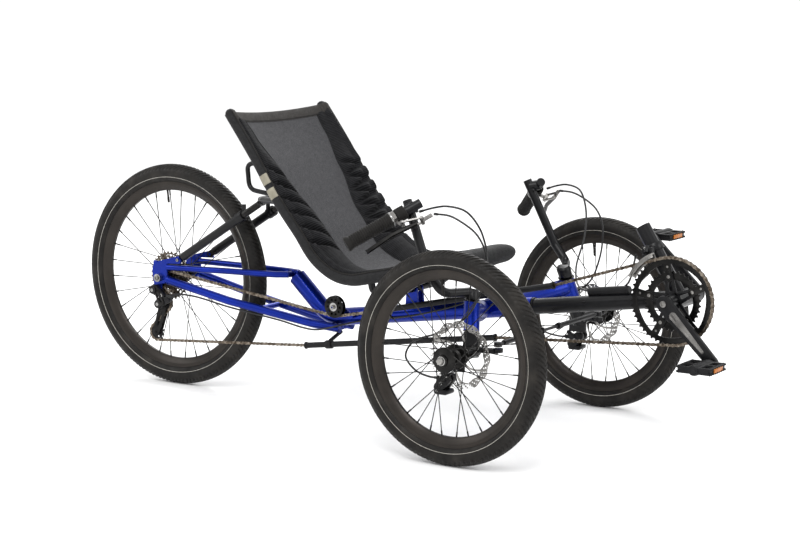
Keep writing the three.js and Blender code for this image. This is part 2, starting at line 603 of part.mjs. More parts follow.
function chainRoute() {
  const n = CHAIN_STOPS.length;
  const leaving = CHAIN_STOPS.map((stop, i) => tangentAngle(stop, CHAIN_STOPS[(i + 1) % n]));
  const stations = [];
  CHAIN_STOPS.forEach((stop, i) => {
    const arriving = leaving[(i + n - 1) % n];
    let bend = leaving[i] - arriving;
    while (bend > Math.PI) bend -= 2 * Math.PI;
    while (bend < -Math.PI) bend += 2 * Math.PI;
    if (stop.r > 0 && Math.sign(bend) !== stop.turn) bend += 2 * Math.PI * stop.turn;
    const steps = stop.r > 0 ? Math.max(2, Math.ceil(Math.abs(bend) / 0.5)) : 0;
    for (let k = 0; k <= steps; k++) {
      const angle = arriving + (steps ? (k / steps) * bend : 0);
      stations.push(v3(stop.x + stop.turn * stop.r * Math.sin(angle), stop.y,
        stop.z - stop.turn * stop.r * Math.cos(angle)));
    }
  });
  return stations;
}

const CHAIN_HALF_H = 4.2;
function makeChain() {
  const loop = chainRoute();
  const firstRun = loop.findIndex((p) => p.x < 0);
  const opened = [...loop.slice(firstRun), ...loop.slice(0, firstRun + 1)];
  const [start, next] = opened;
  const seam = start.clone().lerp(next, 0.02);
  opened[0] = seam;
  opened[opened.length - 1] = start.clone().lerp(next, 0.03);
  const strip = (y0, y1) => new THREE.Shape([
    v2(-CHAIN_HALF_H, y0), v2(CHAIN_HALF_H, y0), v2(CHAIN_HALF_H, y1), v2(-CHAIN_HALF_H, y1),
  ]);
  opened.splice(opened.length - 1, 0, start.clone());
  const plates = [[-2.9, -1.4], [1.4, 2.9]].map(([a, b]) => sweep(strip(a, b), opened));
  const pins = [];
  for (const [i, j] of straightRuns(opened)) {
    const at = opened[i].clone().lerp(opened[j], 0.4);
    pins.push(pinY(1.8, at.y - 2, at.y + 2, at.x, at.z, 4));
  }
  piece('drive_chain', join(...plates, ...pins), CHAIN_STEEL);
}

const straightRuns = (stations) => stations.slice(1)
  .map((p, i) => [i, i + 1, p.distanceTo(stations[i])])
  .filter(([, , length]) => length > 80)
  .map(([i, j]) => [i, j]);

function makeChainGuides() {
  const pulleyWheel = (name, x, z, y, teeth, boreR, half) => {
    const r = pitchRadius(teeth);
    const profile = [[boreR, y - half], [7, y - half], [7, y - 1], [r - 1, y - 1], [r - 1, y + 1],
      [7, y + 1], [7, y + half], [boreR, y + half], [boreR, y - half]];
    piece(name, revolved(profile, 12, x, z), BLACK_PLASTIC);
  };
  pulleyWheel('guide_pulley', GUIDE.x, GUIDE.z, COG_Y, PULLEY_TEETH, 3.4, 4.6);
  pulleyWheel('tension_pulley', TENSION.x, TENSION.z, COG_Y, PULLEY_TEETH, 3.4, 4.6);
  const y = CHAINLINE_Y;
  const idler = [[4.5, y - 10], [9, y - 7], [IDLER.r, y - 6.4], [IDLER.r, y - 5],
    [12, y - 5], [12, y - 1], [24, y - 1], [24, y + 1], [12, y + 1], [12, y + 5],
    [IDLER.r, y + 5], [IDLER.r, y + 6.4], [9, y + 7], [4.5, y + 10], [4.5, y - 10]];
  piece('idler_wheel', revolved(idler, 14, IDLER.x, IDLER.z), BLACK_PLASTIC);

  const between = (a, b, from, to, r) =>
    rod([a.clone().lerp(b, from), a.clone().lerp(b, to)], r, 8);
  const guideTube = (a, b, ...extras) => cut(join(
    rod([a, b], 7.5, 8),
    between(a, b, 0, 0.008, 9.5),
    between(a, b, 0.992, 1, 9.5),
    ...extras,
  ), between(a, b, -0.01, 1.01, 5.6));
  const [, low, lowRear] = CHAIN_STOPS;
  const [upRear, up] = CHAIN_STOPS.slice(-2);
  const at = (stop) => v3(stop.x, stop.y, stop.z);
  const strap = box(-246, -232, CHAINLINE_Y + 5.8, -BEAM_R - 0.5, 303, 311);
  piece('power_chain_tube', guideTube(at(upRear), at(up), strap), BLACK_PLASTIC);
  const a = at(low);
  const b = at(lowRear);
  const hung = a.clone().lerp(b, 0.87);
  const clamp = between(a, b, 0.855, 0.885, 11);
  const hanger = rod([v3(hung.x, hung.y + 4, hung.z + 9), v3(hung.x, 0, HANGER_TOP)], 5, 6, 0,
    v3(1, 0, 0));
  piece('return_chain_tube', guideTube(a, b, clamp, hanger), BLACK_PLASTIC);
}

function makeDerailleurs() {
  const arc = (r, from, to, steps) => Array.from({ length: steps + 1 }, (_, i) => {
    const angle = from + (i / steps) * (to - from);
    return [BB.x + r * Math.cos(angle), BB.z + r * Math.sin(angle)];
  });
  const cagePlate = (rIn, rOut, y) =>
    plateXZ([...arc(rOut, 2.05, 2.72, 3), ...arc(rIn, 2.72, 2.05, 3)], y, y + 1.5);
  const outer = cagePlate(97, 120, CHAINLINE_Y - 7.5);
  const inner = cagePlate(88, 120, CHAINLINE_Y + 5);
  const bridges = [[2.06, 2.12], [2.66, 2.71]].map(([from, to]) => plateXZ(
    [...arc(120, from, to, 2), ...arc(from < 2.2 ? 116 : 117, to, from, 2)],
    CHAINLINE_Y - 7, CHAINLINE_Y + 6));
  const mid = postPoint(132);
  const link = rod([v3(mid.x + 6, -46, mid.z - 2), v3(mid.x - 4, -16, mid.z)], 7, 8, 0,
    v3(0, 0, 1));
  const band = rod([postPoint(122), postPoint(142)], POST_R + 3.5, 12, POST_R + GAP);
  const arm = box(mid.x - 12, mid.x + 34, -45, -40, mid.z - 12, mid.z + 8);
  const clear = rod([postPoint(90), postPoint(170)], POST_R + GAP, 12);
  piece('front_derailleur', join(outer, inner, ...bridges, arm, cut(join(link, band), clear)),
    SATIN_BLACK);

  const knuckle = { x: -1108, z: 270 };
  const upper = pinY(12, -DROPOUT_OUT - GAP, -98, knuckle.x, knuckle.z, 14);
  const lower = pinY(12, COG_Y - 7.6, -94, GUIDE.x - 2, GUIDE.z + 1, 14);
  const swing = plateXZ(taperedOutline(knuckle.x, knuckle.z, 12, GUIDE.x, GUIDE.z, 12, 4), -80, -98);
  const fin = plateXZ(taperedOutline(knuckle.x + 4, knuckle.z - 8, 13, -1060, 250, 8, 4), -82, -96);
  piece('rear_derailleur', join(upper, lower, swing, fin), BLACK_PLASTIC);

  const cagePlateRear = (y) => plateXZ(
    taperedOutline(GUIDE.x, GUIDE.z, 13, TENSION.x, TENSION.z, 11, 5), y, y + 1.5);
  const bolts = [GUIDE, TENSION].map((p) => pinY(3, COG_Y - 6, COG_Y + 6, p.x, p.z, 10));
  piece('derailleur_cage',
    join(cagePlateRear(COG_Y - 6.9), cagePlateRear(COG_Y + 5.4), ...bolts), SATIN_BLACK);
}

// ---------- cables, each whole along its own route ----------
const CABLE_R = 2.4;
const BRAKE_CABLE = (side) => [
  [-86, 302, 564], [-48, 299, 562], [-18, 298, 551], [22, 295, 525], [42, 291, 491],
  [46, 288, 455], [36, 292, 400], [4, 300, 336], [-70, 306, 290], [-138, 309, 262], [-158, 309, 226],
  [-132, 308, 196], [-92, 312, 186], [-66, 314, 186],
].map(([x, y, z]) => v3(x, side * y, z));
const REAR_SHIFT_CABLE = [
  [-124, -305, 567], [-87, -296, 578], [-58, -290, 582], [-16, -278, 572], [10, -260, 534],
  [17, -240, 483], [9, -222, 452], [-6, -160, 408], [-24, -100, 386], [-50, -62, 368],
  [-82, -38, 352], [-128, -31, 328], [-184, -28, 306], [-239, -27, 288],
  [-330, -27, 263], [-420, -27, 247], [-500, -27, 231], [-545, -42, 218], [-600, -47, 205],
  [-650, -38, 204], [-720, -43, 217], [-874, -60, 240], [-990, -68, 260], [-1038, -82, 262],
  [-1051, -89, 256],
].map((p) => v3(...p));
const FRONT_SHIFT_CABLE = [
  [-124, 305, 567], [-87, 296, 578], [-58, 290, 582], [-16, 278, 572], [12, 258, 532],
  [34, 214, 470], [60, 120, 400],
  [110, 44, 366], [165, 8, 365], [230, 4, 374], [262, -2, 396], [280, -14, 440],
  [291, -24, 466],
].map((p) => v3(...p));

function makeCables() {
  for (const [word, side] of SIDES) {
    piece(`brake_cable_${word}`, rod(smooth(BRAKE_CABLE(side), 26), CABLE_R, 5, 0, v3(0, 1, 0)),
      BLACK_PLASTIC);
  }
  piece('rear_shift_cable', rod(smooth(REAR_SHIFT_CABLE, 48), CABLE_R, 5, 0, v3(0, 1, 0)),
    BLACK_PLASTIC);
  piece('front_shift_cable', rod(smooth(FRONT_SHIFT_CABLE, 30), CABLE_R, 5, 0, v3(0, 1, 0.01)),
    BLACK_PLASTIC);
}

// ---------- seat ----------
const RAIL = [[-757, 765], [-677, 657], [-604, 548], [-543, 474], [-498, 417], [-440, 380],
  [-385, 372], [-318, 385], [-240, 401], [-170, 413]];
const railPath = (y) => RAIL.map(([x, z]) => v3(x, y, z));
const BRACE = { x: STRUT_HIGH.x + 19, z: STRUT_HIGH.z + 11 };

const SLING_EDGE = 184;              // half width of the cloth between the rails
const SLING_SAG = 24;
const SLING_HALF_T = 5;
const WRAP_R = 15;                  // cloth round the front and outer side of each rail
function makeSeat() {
  const rails = [-1, 1].map((side) => rod(railPath(side * RAIL_Y), RAIL_R, 8));
  const front = pinY(9, -RAIL_Y, RAIL_Y, ...RAIL[RAIL.length - 1], 8);
  const under = rod(rounded([
    v3(SEAT_PIVOT.x, -RAIL_Y, 381), v3(SEAT_PIVOT.x, -192, 350),
    v3(SEAT_PIVOT.x, -120, SEAT_PIVOT.z), v3(SEAT_PIVOT.x, 120, SEAT_PIVOT.z),
    v3(SEAT_PIVOT.x, 192, 350), v3(SEAT_PIVOT.x, RAIL_Y, 381),
  ], 30, 1), SEAT_PIVOT_R, 8, 0, v3(1, 0, 0));
  const rear = rod(rounded([
    v3(-606, -RAIL_Y, 550), v3(-690, -150, 545), v3(BRACE.x, -100, BRACE.z),
    v3(BRACE.x, 100, BRACE.z), v3(-690, 150, 545), v3(-606, RAIL_Y, 550),
  ], 20, 1), 8, 6, 0, v3(0, 0, 1));
  const forks = [56.5, 74].flatMap((y) => [-1, 1].map((side) => plateXZ(
    taperedOutline(BRACE.x, BRACE.z, 8, STRUT_HIGH.x, STRUT_HIGH.z, 7.5, 2),
    side * y, side * (y + 3.5))));
  const loops = [-1, 1].map((side) => rod(rounded([
    v3(-671, side * 194, 643), v3(-706, side * 194, 638), v3(-700, side * 194, 575),
    v3(-628, side * 194, 566),
  ], 26, 1), 6, 5));
  piece('seat_frame', join(...rails, front, under, rear, ...forks, ...loops), SATIN_BLACK);

  const across = (w) => [1, 0.8, 0.5, 0.2].map((part) => [
    part * SLING_EDGE, w - SLING_SAG * (1 - part ** 2),
  ]);
  const wrap = (r, angles) => angles.map((degrees) => {
    const angle = THREE.MathUtils.degToRad(degrees);
    return [RAIL_Y + r * Math.cos(angle), r * Math.sin(angle)];
  });
  const half = [
    ...across(-SLING_HALF_T).reverse(),
    ...wrap(RAIL_R + 1, [135, 95, 50, -4]),
    ...wrap(WRAP_R, [-4, 50, 95]),
    ...across(SLING_HALF_T),
  ];
  const mirrored = half.map(([u, w]) => [-u, w]).reverse();
  const section = new THREE.Shape([...half, ...mirrored].map(([u, w]) => v2(-w, u)));
  const stations = railPath(0);
  const last = stations.length - 1;
  stations[last] = stations[last].clone().lerp(stations[last - 1], 0.17);
  const sling = sweep(section, stations);
  const [noseX, noseZ] = RAIL[last];
  const nose = cut(pinY(22, -180, 180, noseX, noseZ, 12), pinY(10, -190, 190, noseX, noseZ, 12));
  piece('seat_cover', join(sling, nose), SEAT_CLOTH);
}

function makeStruts() {
  const low = (side) => v3(STRUT_LOW.x, side * STRUT_Y, STRUT_LOW.z);
  const high = (side) => v3(STRUT_HIGH.x, side * STRUT_Y, STRUT_HIGH.z);
  const length = low(1).distanceTo(high(1));
  const on = (side, s) => low(side).lerp(high(side), s / length);
  for (const [word, side] of SIDES) {
    const outer = rod([on(side, 16), on(side, 250)], 11, 8);
    const bore = rod([on(side, 24), on(side, 260)], 9.2, 8);
    const collar = rod([on(side, 236), on(side, 256)], 14, 8);
    const lever = box(-4, 4, -4, 4, -4, 4).scale(1, 1, 5)
      .translate(on(side, 246).x, side * (STRUT_Y - 14), on(side, 246).z + 12);
    const tang = plateXZ(taperedOutline(STRUT_LOW.x, STRUT_LOW.z, 9, on(side, 22).x,
      on(side, 22).z, 9, 4), side * 62.6, side * 67);
    const eye = pinY(4.5, side * 60, side * 70, STRUT_LOW.x, STRUT_LOW.z, 10);
    piece(`strut_outer_${word}`, cut(join(outer, collar, lever, tang), eye, bore), SATIN_BLACK);
    const inner = rod([on(side, 150), on(side, length - 9.4)], 8.5, 8, 6.5);
    const tip = pinY(10, side * 62, side * 72, STRUT_HIGH.x, STRUT_HIGH.z, 12);
    piece(`strut_inner_${word}`, join(inner, tip), SATIN_BLACK);
  }
}

makeMainTube();
makeRearTriangle();
makeBoom();
makeCrankset();
makeRearWheel();
makeTieRod();
makeChain();
makeChainGuides();
makeDerailleurs();
makeSeat();
makeStruts();
for (const [word, side] of SIDES) {
  makeCrossArm(word, side);
  makeFrontWheel(word, side);
  makeSteering(word, side);
}
makeCables();

export default trike;
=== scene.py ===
"""Looks of a recumbent tadpole tricycle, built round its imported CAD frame.

Metres, +X forward, +Y to the rider's left, +Z up. Shapes are laid out in millimetres from the
line of the front axles and placed by at(), which reads that line from the frame.
"""

import math

import bmesh
import bpy
from mathutils import Matrix, Vector


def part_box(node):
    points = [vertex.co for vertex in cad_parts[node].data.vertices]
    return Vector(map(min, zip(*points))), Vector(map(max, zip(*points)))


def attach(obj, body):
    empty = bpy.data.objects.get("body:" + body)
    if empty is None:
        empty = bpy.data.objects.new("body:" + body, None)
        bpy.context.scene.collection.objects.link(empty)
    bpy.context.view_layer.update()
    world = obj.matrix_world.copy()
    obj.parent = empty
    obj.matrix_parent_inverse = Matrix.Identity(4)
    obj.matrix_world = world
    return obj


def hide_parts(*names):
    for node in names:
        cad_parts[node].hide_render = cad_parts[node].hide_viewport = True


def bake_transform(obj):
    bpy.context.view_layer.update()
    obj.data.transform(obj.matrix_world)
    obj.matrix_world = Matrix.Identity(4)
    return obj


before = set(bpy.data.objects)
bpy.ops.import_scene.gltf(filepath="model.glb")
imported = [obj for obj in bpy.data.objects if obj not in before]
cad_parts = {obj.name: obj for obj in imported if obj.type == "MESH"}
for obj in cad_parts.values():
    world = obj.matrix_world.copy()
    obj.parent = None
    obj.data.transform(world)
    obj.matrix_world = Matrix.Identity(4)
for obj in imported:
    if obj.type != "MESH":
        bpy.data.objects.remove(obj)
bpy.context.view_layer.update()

MM = 0.001
TAU = 2 * math.pi
SIDES = (("right", -1), ("left", 1))
X = Vector((1, 0, 0))
Y = Vector((0, 1, 0))
Z = Vector((0, 0, 1))


def middle(node):
    low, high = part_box(node)
    return (low + high) / 2


def half_height(node):
    low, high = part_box(node)
    return (high.z - low.z) / 2 / MM


FRONT_AXLE = middle("front_wheel_right_tyre")


def at(x, y, z):
    return Vector((FRONT_AXLE.x + x * MM, y * MM, z * MM))


def polar(r, angle):
    return r * math.cos(angle), r * math.sin(angle)


def around(r, angle, y=0.0):
    """A point on a circle about the Y axis, in the circle's own units."""
    return Vector((r * math.cos(angle), y, r * math.sin(angle)))


def angles(count):
    return [TAU * k / count for k in range(count)]


def collar(bore, face, outer, half, land):
    """Profile of a ring with eased outer edges, for Shape.turned."""
    return [(bore, -half), (face, -half), (outer, -land), (outer, land), (face, half), (bore, half)]


# ---------- driving dimensions, millimetres and radians ----------
CRANK = (395, 370)                      # x and z of the crank axis
CRANK_LENGTH = 172.5
CRANK_ANGLE = -0.794                    # right arm, below the horizontal
PEDAL_Y = 150
CHAIN_PITCH = 12.7
CHAINLINE_Y = -49.8
LARGE_RING = 50
SMALL_RING = 34
COG_TEETH = (32, 28, 24, 21, 18, 15, 13, 11)
COG_PITCH_Y = 4.8
FIRST_COG_Y = -27.9
COG_Y = FIRST_COG_Y - COG_PITCH_Y * (len(COG_TEETH) - 1)
REAR_AXLE = (-1101.4, 301.6)
IDLER = (-540, 271)
GUIDE_PULLEY = (-1092, 232)
TENSION_PULLEY = (-1121, 150)
PULLEY_TEETH = 11
SPOKES = 32
ROTOR_Y = 326
RAIL_Y = 197
RAIL_R = 11
SLING_EDGE = 184
SLING_SAG = 15
BEAM_SLOPE = 0.1405                      # how steeply the main tube and the boom rise forwards
KINGPIN_CASTER = 0.1745                  # how far its top leans back
KINGPIN_INCLINE = 0.314                  # and inwards
POST_LEAN = 0.5585                       # the front derailleur's post, back from upright
SPOKE_CROSSING = 1.08                    # how far round the hub a spoke is pulled


def beam_height(x):
    return CRANK[1] - BEAM_SLOPE * (CRANK[0] - x)


def beam_point(x):
    """A point on the centre line that the main tube and the boom share."""
    return at(x, 0, beam_height(x))


def steering_line(side):
    """The head tube's middle and the direction of the kingpin in it."""
    kingpin = Vector((-math.tan(KINGPIN_CASTER), -side * math.tan(KINGPIN_INCLINE), 1))
    return at(-20, side * 241, 322), kingpin.normalized()


# ---------- materials ----------
class Finish:
    """A Principled material whose colour, roughness and relief come from procedural nodes."""

    def __init__(self, name, **sockets):
        self.material = bpy.data.materials.new(name)
        self.material.use_nodes = True
        self.tree = self.material.node_tree
        self.shader = self.tree.nodes["Principled BSDF"]
        self.place = self.node("ShaderNodeTexCoord").outputs["Object"]
        for socket, value in sockets.items():
            self.shader.inputs[socket.replace("_", " ")].default_value = value

    def node(self, kind, links=None, values=None, **properties):
        made = self.tree.nodes.new(kind)
        for key, value in properties.items():
            setattr(made, key, value)
        for key, value in (values or {}).items():
            made.inputs[key].default_value = value
        for key, output in (links or {}).items():
            self.tree.links.new(output, made.inputs[key])
        return made

    def stretched(self, factors):
        return self.node("ShaderNodeMapping", {"Vector": self.place}, {"Scale": factors}).outputs["Vector"]

    def cloth_metres(self):
        return self.node("ShaderNodeAttribute", attribute_name="lay").outputs["Vector"]

    def noise(self, scale, detail=4.0, place=None):
        made = self.node("ShaderNodeTexNoise", {"Vector": place or self.place},
                         {"Scale": scale, "Detail": detail})
        return made.outputs["Fac"]

    def cells(self, scale):
        made = self.node("ShaderNodeTexVoronoi", {"Vector": self.place}, {"Scale": scale})
        return made.outputs["Distance"]

    def pattern(self, form):
        """Noise when form is (scale, detail), cells when it is a bare scale."""
        return self.noise(*form) if isinstance(form, tuple) else self.cells(form)

    def bands(self, pitch, direction, place=None):
        made = self.node("ShaderNodeTexWave", {"Vector": place or self.place},
                         {"Scale": TAU / 20 / pitch}, bands_direction=direction)
        return made.outputs["Fac"]

    def joined(self, operation, first, second):
        return self.node("ShaderNodeMath", {0: first, 1: second}, operation=operation).outputs[0]

    def colour(self, factor, *stops):
        made = self.node("ShaderNodeValToRGB", {"Fac": factor})
        elements = made.color_ramp.elements
        while len(elements) < len(stops):
            elements.new(0.5)
        for element, (where, rgb) in zip(elements, stops):
            element.position = where
            element.color = (*rgb, 1)
        self.tree.links.new(made.outputs["Color"], self.shader.inputs["Base Color"])

    def roughness(self, factor, low, high):
        made = self.node("ShaderNodeMapRange", {"Value": factor},
                         {"From Min": 0.3, "From Max": 0.7, "To Min": low, "To Max": high})
        self.tree.links.new(made.outputs["Result"], self.shader.inputs["Roughness"])

    def relief(self, *layers):
        """Each layer is (height, strength, depth in metres)."""
        normal = None
        for height, strength, depth in layers:
            links = {"Height": height}
            if normal:
                links["Normal"] = normal
            made = self.node("ShaderNodeBump", links, {"Strength": strength, "Distance": depth})
            normal = made.outputs["Normal"]
        self.tree.links.new(normal, self.shader.inputs["Normal"])


def mottled(name, tone, stops, grain, rough, layers, **sockets):
    """A finish from three patterns: one for its colour, one for its roughness, the rest in relief."""
    f = Finish(name, **sockets)
    f.colour(f.pattern(tone), *stops)
    f.roughness(f.pattern(grain), *rough)
    f.relief(*((f.pattern(form), strength, depth) for form, strength, depth in layers))
    return f.material


def brushed(name, dark, light, low, high):
    f = Finish(name, Metallic=1.0)
    f.colour(f.noise(25, 6), (0.3, dark), (0.7, light))
    grain = f.noise(1, 4, f.stretched((40, 900, 40)))
    f.roughness(grain, low, high)
    f.relief((grain, 0.12, 0.0002), (f.noise(90, 4), 0.05, 0.0004))
    return f.material


def woven(name, dark, light, pitch, low, high, sheen):
    """Cloth with crossed threads; the cloth's own metres are in the attribute lay."""
    f = Finish(name, Sheen_Weight=sheen, Sheen_Roughness=0.45, Specular_IOR_Level=0.25)
    lay = f.cloth_metres()
    threads = f.joined("MAXIMUM", f.bands(pitch, "X", lay), f.bands(pitch, "Y", lay))
    f.colour(f.joined("MULTIPLY", threads, f.noise(260, 5)), (0.15, dark), (0.65, light))
    f.roughness(f.noise(80, 5), low, high)
    f.relief((threads, 0.5, 0.0006), (f.noise(18, 3), 0.08, 0.004), (f.noise(2200, 2), 0.2, 0.0002))
    return f.material


def ribbed_quilt():
    """Black stretch cloth whose fine cords run straight across the wing, with painted highlight on the cords
    and painted shade between them.
    """
    f = Finish("seat_quilt", Sheen_Weight=0.02, Sheen_Roughness=0.5, Specular_IOR_Level=0.15)
    cords = f.bands(0.0046, "Y", f.cloth_metres())
    fibres = f.noise(900, 4)
    # The colour follows the cords: painted highlight on each cord and painted shade between them, mixed with
    # random tone.
    painted_cord_light_and_tone = f.joined("MULTIPLY", cords, f.noise(60, 6))
    f.colour(painted_cord_light_and_tone, (0.08, (0.0015, 0.0015, 0.002)), (0.55, (0.019, 0.019, 0.021)))
    f.roughness(fibres, 0.72, 0.92)
    f.relief((cords, 0.6, 0.0014), (fibres, 0.2, 0.0003))
    return f.material


def bead_cloth():
    f = Finish("reflective_cloth", Metallic=0.15)
    f.colour(f.noise(50, 6), (0.3, (0.17, 0.155, 0.115)), (0.7, (0.27, 0.25, 0.19)))
    f.roughness(f.noise(120, 4), 0.4, 0.6)
    f.relief((f.cells(2200), 0.3, 0.0003), (f.bands(0.003, "DIAGONAL"), 0.2, 0.0003))
    return f.material


BLUE = mottled("blue_paint", (9, 3), ((0.3, (0.001, 0.010, 0.15)), (0.7, (0.003, 0.021, 0.29))),
               2600, (0.26, 0.4), (((380, 2), 0.05, 0.0004), (2600, 0.06, 0.0001)),
               Metallic=0.8, Specular_IOR_Level=0.1, Coat_Weight=0.22, Coat_Roughness=0.03)
BLACK = mottled("satin_black", (14, 5), ((0.3, (0.0025, 0.0025, 0.003)), (0.7, (0.006, 0.006, 0.007))),
                (60, 6), (0.26, 0.42), (((900, 3), 0.10, 0.0002),),
                Coat_Weight=0.06, Coat_Roughness=0.15, Specular_IOR_Level=0.2)
PLASTIC = mottled("black_plastic", (30, 5), ((0.3, (0.004, 0.004, 0.0045)), (0.7, (0.009, 0.009, 0.010))),
                  (120, 5), (0.42, 0.62), ((1300, 0.25, 0.0003), ((500, 3), 0.15, 0.0002)),
                  Specular_IOR_Level=0.2)
RUBBER = mottled("rubber", (45, 6), ((0.3, (0.006, 0.0055, 0.005)), (0.7, (0.013, 0.012, 0.011))),
                 (90, 5), (0.62, 0.8), (((1100, 4), 0.3, 0.0004),),
                 Sheen_Weight=0.02, Specular_IOR_Level=0.18)
TYRE = mottled("tyre", (22, 8), ((0.30, (0.003, 0.0025, 0.0021)), (0.52, (0.008, 0.0067, 0.0056)),
                                 (0.75, (0.021, 0.018, 0.015))),
               (70, 6), (0.45, 0.68), (((700, 5), 0.35, 0.0005),),
               Sheen_Weight=0.01, Specular_IOR_Level=0.22)
RIM = mottled("rim_alloy", (16, 5), ((0.3, (0.014, 0.011, 0.009)), (0.7, (0.026, 0.021, 0.017))),
              (240, 6), (0.30, 0.45), (((1500, 3), 0.12, 0.0002),), Metallic=0.6)
STEEL = brushed("steel", (0.15, 0.145, 0.14), (0.34, 0.33, 0.315), 0.2, 0.36)
COG_STEEL = brushed("cog_steel", (0.055, 0.045, 0.036), (0.21, 0.175, 0.145), 0.24, 0.42)
DARK_STEEL = brushed("dark_steel", (0.012, 0.012, 0.012), (0.030, 0.029, 0.028), 0.26, 0.4)
SILVER = brushed("silver_alloy", (0.22, 0.22, 0.215), (0.44, 0.43, 0.42), 0.18, 0.34)
CHAIN = mottled("chain_steel", (160, 7), ((0.3, (0.034, 0.025, 0.018)), (0.5, (0.13, 0.105, 0.082)),
                                          (0.72, (0.33, 0.29, 0.24))),
                (300, 5), (0.24, 0.5), (((1200, 4), 0.2, 0.0002),), Metallic=1.0)
CABLE = mottled("cable_jacket", (40, 5), ((0.3, (0.004, 0.004, 0.0045)), (0.7, (0.010, 0.010, 0.011))),
                (150, 4), (0.28, 0.45), (((700, 3), 0.12, 0.0002),), Specular_IOR_Level=0.4)
CLOTH = woven("seat_cloth", (0.020, 0.020, 0.022), (0.070, 0.070, 0.075), 0.0022, 0.7, 0.88, 0.06)
TRIM = woven("seat_trim", (0.004, 0.004, 0.0045), (0.014, 0.014, 0.015), 0.003, 0.62, 0.8, 0.04)
HEM = woven("seat_hem", (0.009, 0.008, 0.007), (0.036, 0.032, 0.029), 0.003, 0.6, 0.8, 0.05)
QUILT = ribbed_quilt()
PATCH = bead_cloth()
AMBER = mottled("amber_reflector", 420, ((0.0, (0.50, 0.17, 0.008)), (0.8, (0.33, 0.085, 0.004))),
                (100, 3), (0.12, 0.25), ((420, 0.6, 0.0006),),
                Coat_Weight=0.1, Coat_Roughness=0.08, Specular_IOR_Level=0.2)
BAND = mottled("reflective_band", (130, 5), ((0.3, (0.24, 0.23, 0.20)), (0.7, (0.44, 0.42, 0.38))),
               (200, 3), (0.35, 0.55), ((2400, 0.2, 0.0002),))
FLOOR = mottled("studio_floor", (0.4, 2), ((0.3, (0.90, 0.90, 0.90)), (0.7, (0.93, 0.93, 0.93))),
                (3, 2), (0.75, 0.9), (((60, 2), 0.02, 0.001),))


# ---------- shapes ----------
class Shape:
    """Points and faces of one piece, with the cloth's own metres where it is cloth."""

    def __init__(self):
        self.points = []
        self.faces = []
        self.lay = []

    def add(self, points, faces, lay=None):
        base = len(self.points)
        self.points += [tuple(p) for p in points]
        self.faces += [tuple(base + i for i in face) for face in faces]
        self.lay += lay or [(0, 0, 0)] * len(points)

    def skin(self, rings, closed=False, lay=None):
        """Skins rings of points. closed joins the last ring to the first; otherwise the ends are capped."""
        wide, tall = len(rings[0]), len(rings)
        faces = []
        for i in range(tall if closed else tall - 1):
            here, there = i * wide, (i + 1) % tall * wide
            for j in range(wide):
                k = (j + 1) % wide
                faces.append((here + j, here + k, there + k, there + j))
        if not closed:
            faces.append(tuple(range(wide))[::-1])
            faces.append(tuple((tall - 1) * wide + j for j in range(wide)))
        self.add([p for ring in rings for p in ring], faces, [c for row in lay for c in row] if lay else None)

    def turned(self, centre, profile, axis=Y, sides=64):
        """Revolves (radius, along) pairs in millimetres about an axis."""
        side = Z.cross(axis).normalized() if abs(axis.z) < 0.9 else X
        up = axis.cross(side)
        rings = []
        for angle in angles(sides):
            out = side * math.cos(angle) + up * math.sin(angle)
            rings.append([centre + (out * r + axis * t) * MM for r, t in profile])
        self.skin(rings, closed=True)

    def tube(self, points, radius, sides=14):
        """A round tube along points; radius is one number or one for each point, in millimetres."""
        radii = radius if isinstance(radius, list) else [radius] * len(points)
        side = (points[1] - points[0]).orthogonal().normalized()
        rings = []
        for i, point in enumerate(points):
            along = (points[min(i + 1, len(points) - 1)] - points[max(i - 1, 0)]).normalized()
            side = (side - along * side.dot(along)).normalized()
            other = along.cross(side)
            rings.append([point + (side * math.cos(angle) + other * math.sin(angle)) * radii[i] * MM
                          for angle in angles(sides)])
        self.skin(rings)

    def plate(self, centre, outline, holes=(), thick=2.0, edge=0.3, u=X, v=Z):
        """A flat plate with holes, its edges eased; outline and holes are in millimetres."""
        curve = bpy.data.curves.new("outline", "CURVE")
        curve.dimensions = "2D"
        curve.fill_mode = "BOTH"
        curve.bevel_depth = edge
        curve.offset = -edge
        curve.bevel_resolution = 1
        curve.extrude = thick / 2 - edge
        for loop in (outline, *holes):
            spline = curve.splines.new("POLY")
            spline.points.add(len(loop) - 1)
            spline.use_cyclic_u = True
            for point, (a, b) in zip(spline.points, loop):
                point.co = (a, b, 0, 1)
        holder = bpy.data.objects.new("outline", curve)
        made = bpy.data.meshes.new_from_object(holder)
        n = u.cross(v)
        points = [centre + (u * p.co.x + v * p.co.y + n * p.co.z) * MM for p in made.vertices]
        self.add(points, [tuple(face.vertices) for face in made.polygons])
        bpy.data.objects.remove(holder)
        bpy.data.curves.remove(curve)
        bpy.data.meshes.remove(made)

    def block(self, centre, size, edge=0.8):
        """A box with eased edges; size is along X, along Z and along Y, in millimetres."""
        a, b, thick = size[0] / 2, size[1] / 2, size[2]
        outline = rounded_corners([(-a, -b), (a, -b), (a, b), (-a, b)], min(a, b) * 0.3)
        self.plate(centre, outline, (), thick, edge)

    def bolt(self, centre, axis, radius, height):
        """A round socket-head bolt that stands up along axis."""
        socket, floor = radius * 0.5, height * 0.45
        self.turned(centre, [(socket, floor), (socket, height), (radius * 0.8, height),
                             (radius, height * 0.8), (radius, 0), (0.01, 0), (0.01, floor)], axis, 14)


def placed(name, data):
    obj = bpy.data.objects.new(name, data)
    bpy.context.scene.collection.objects.link(obj)
    return obj


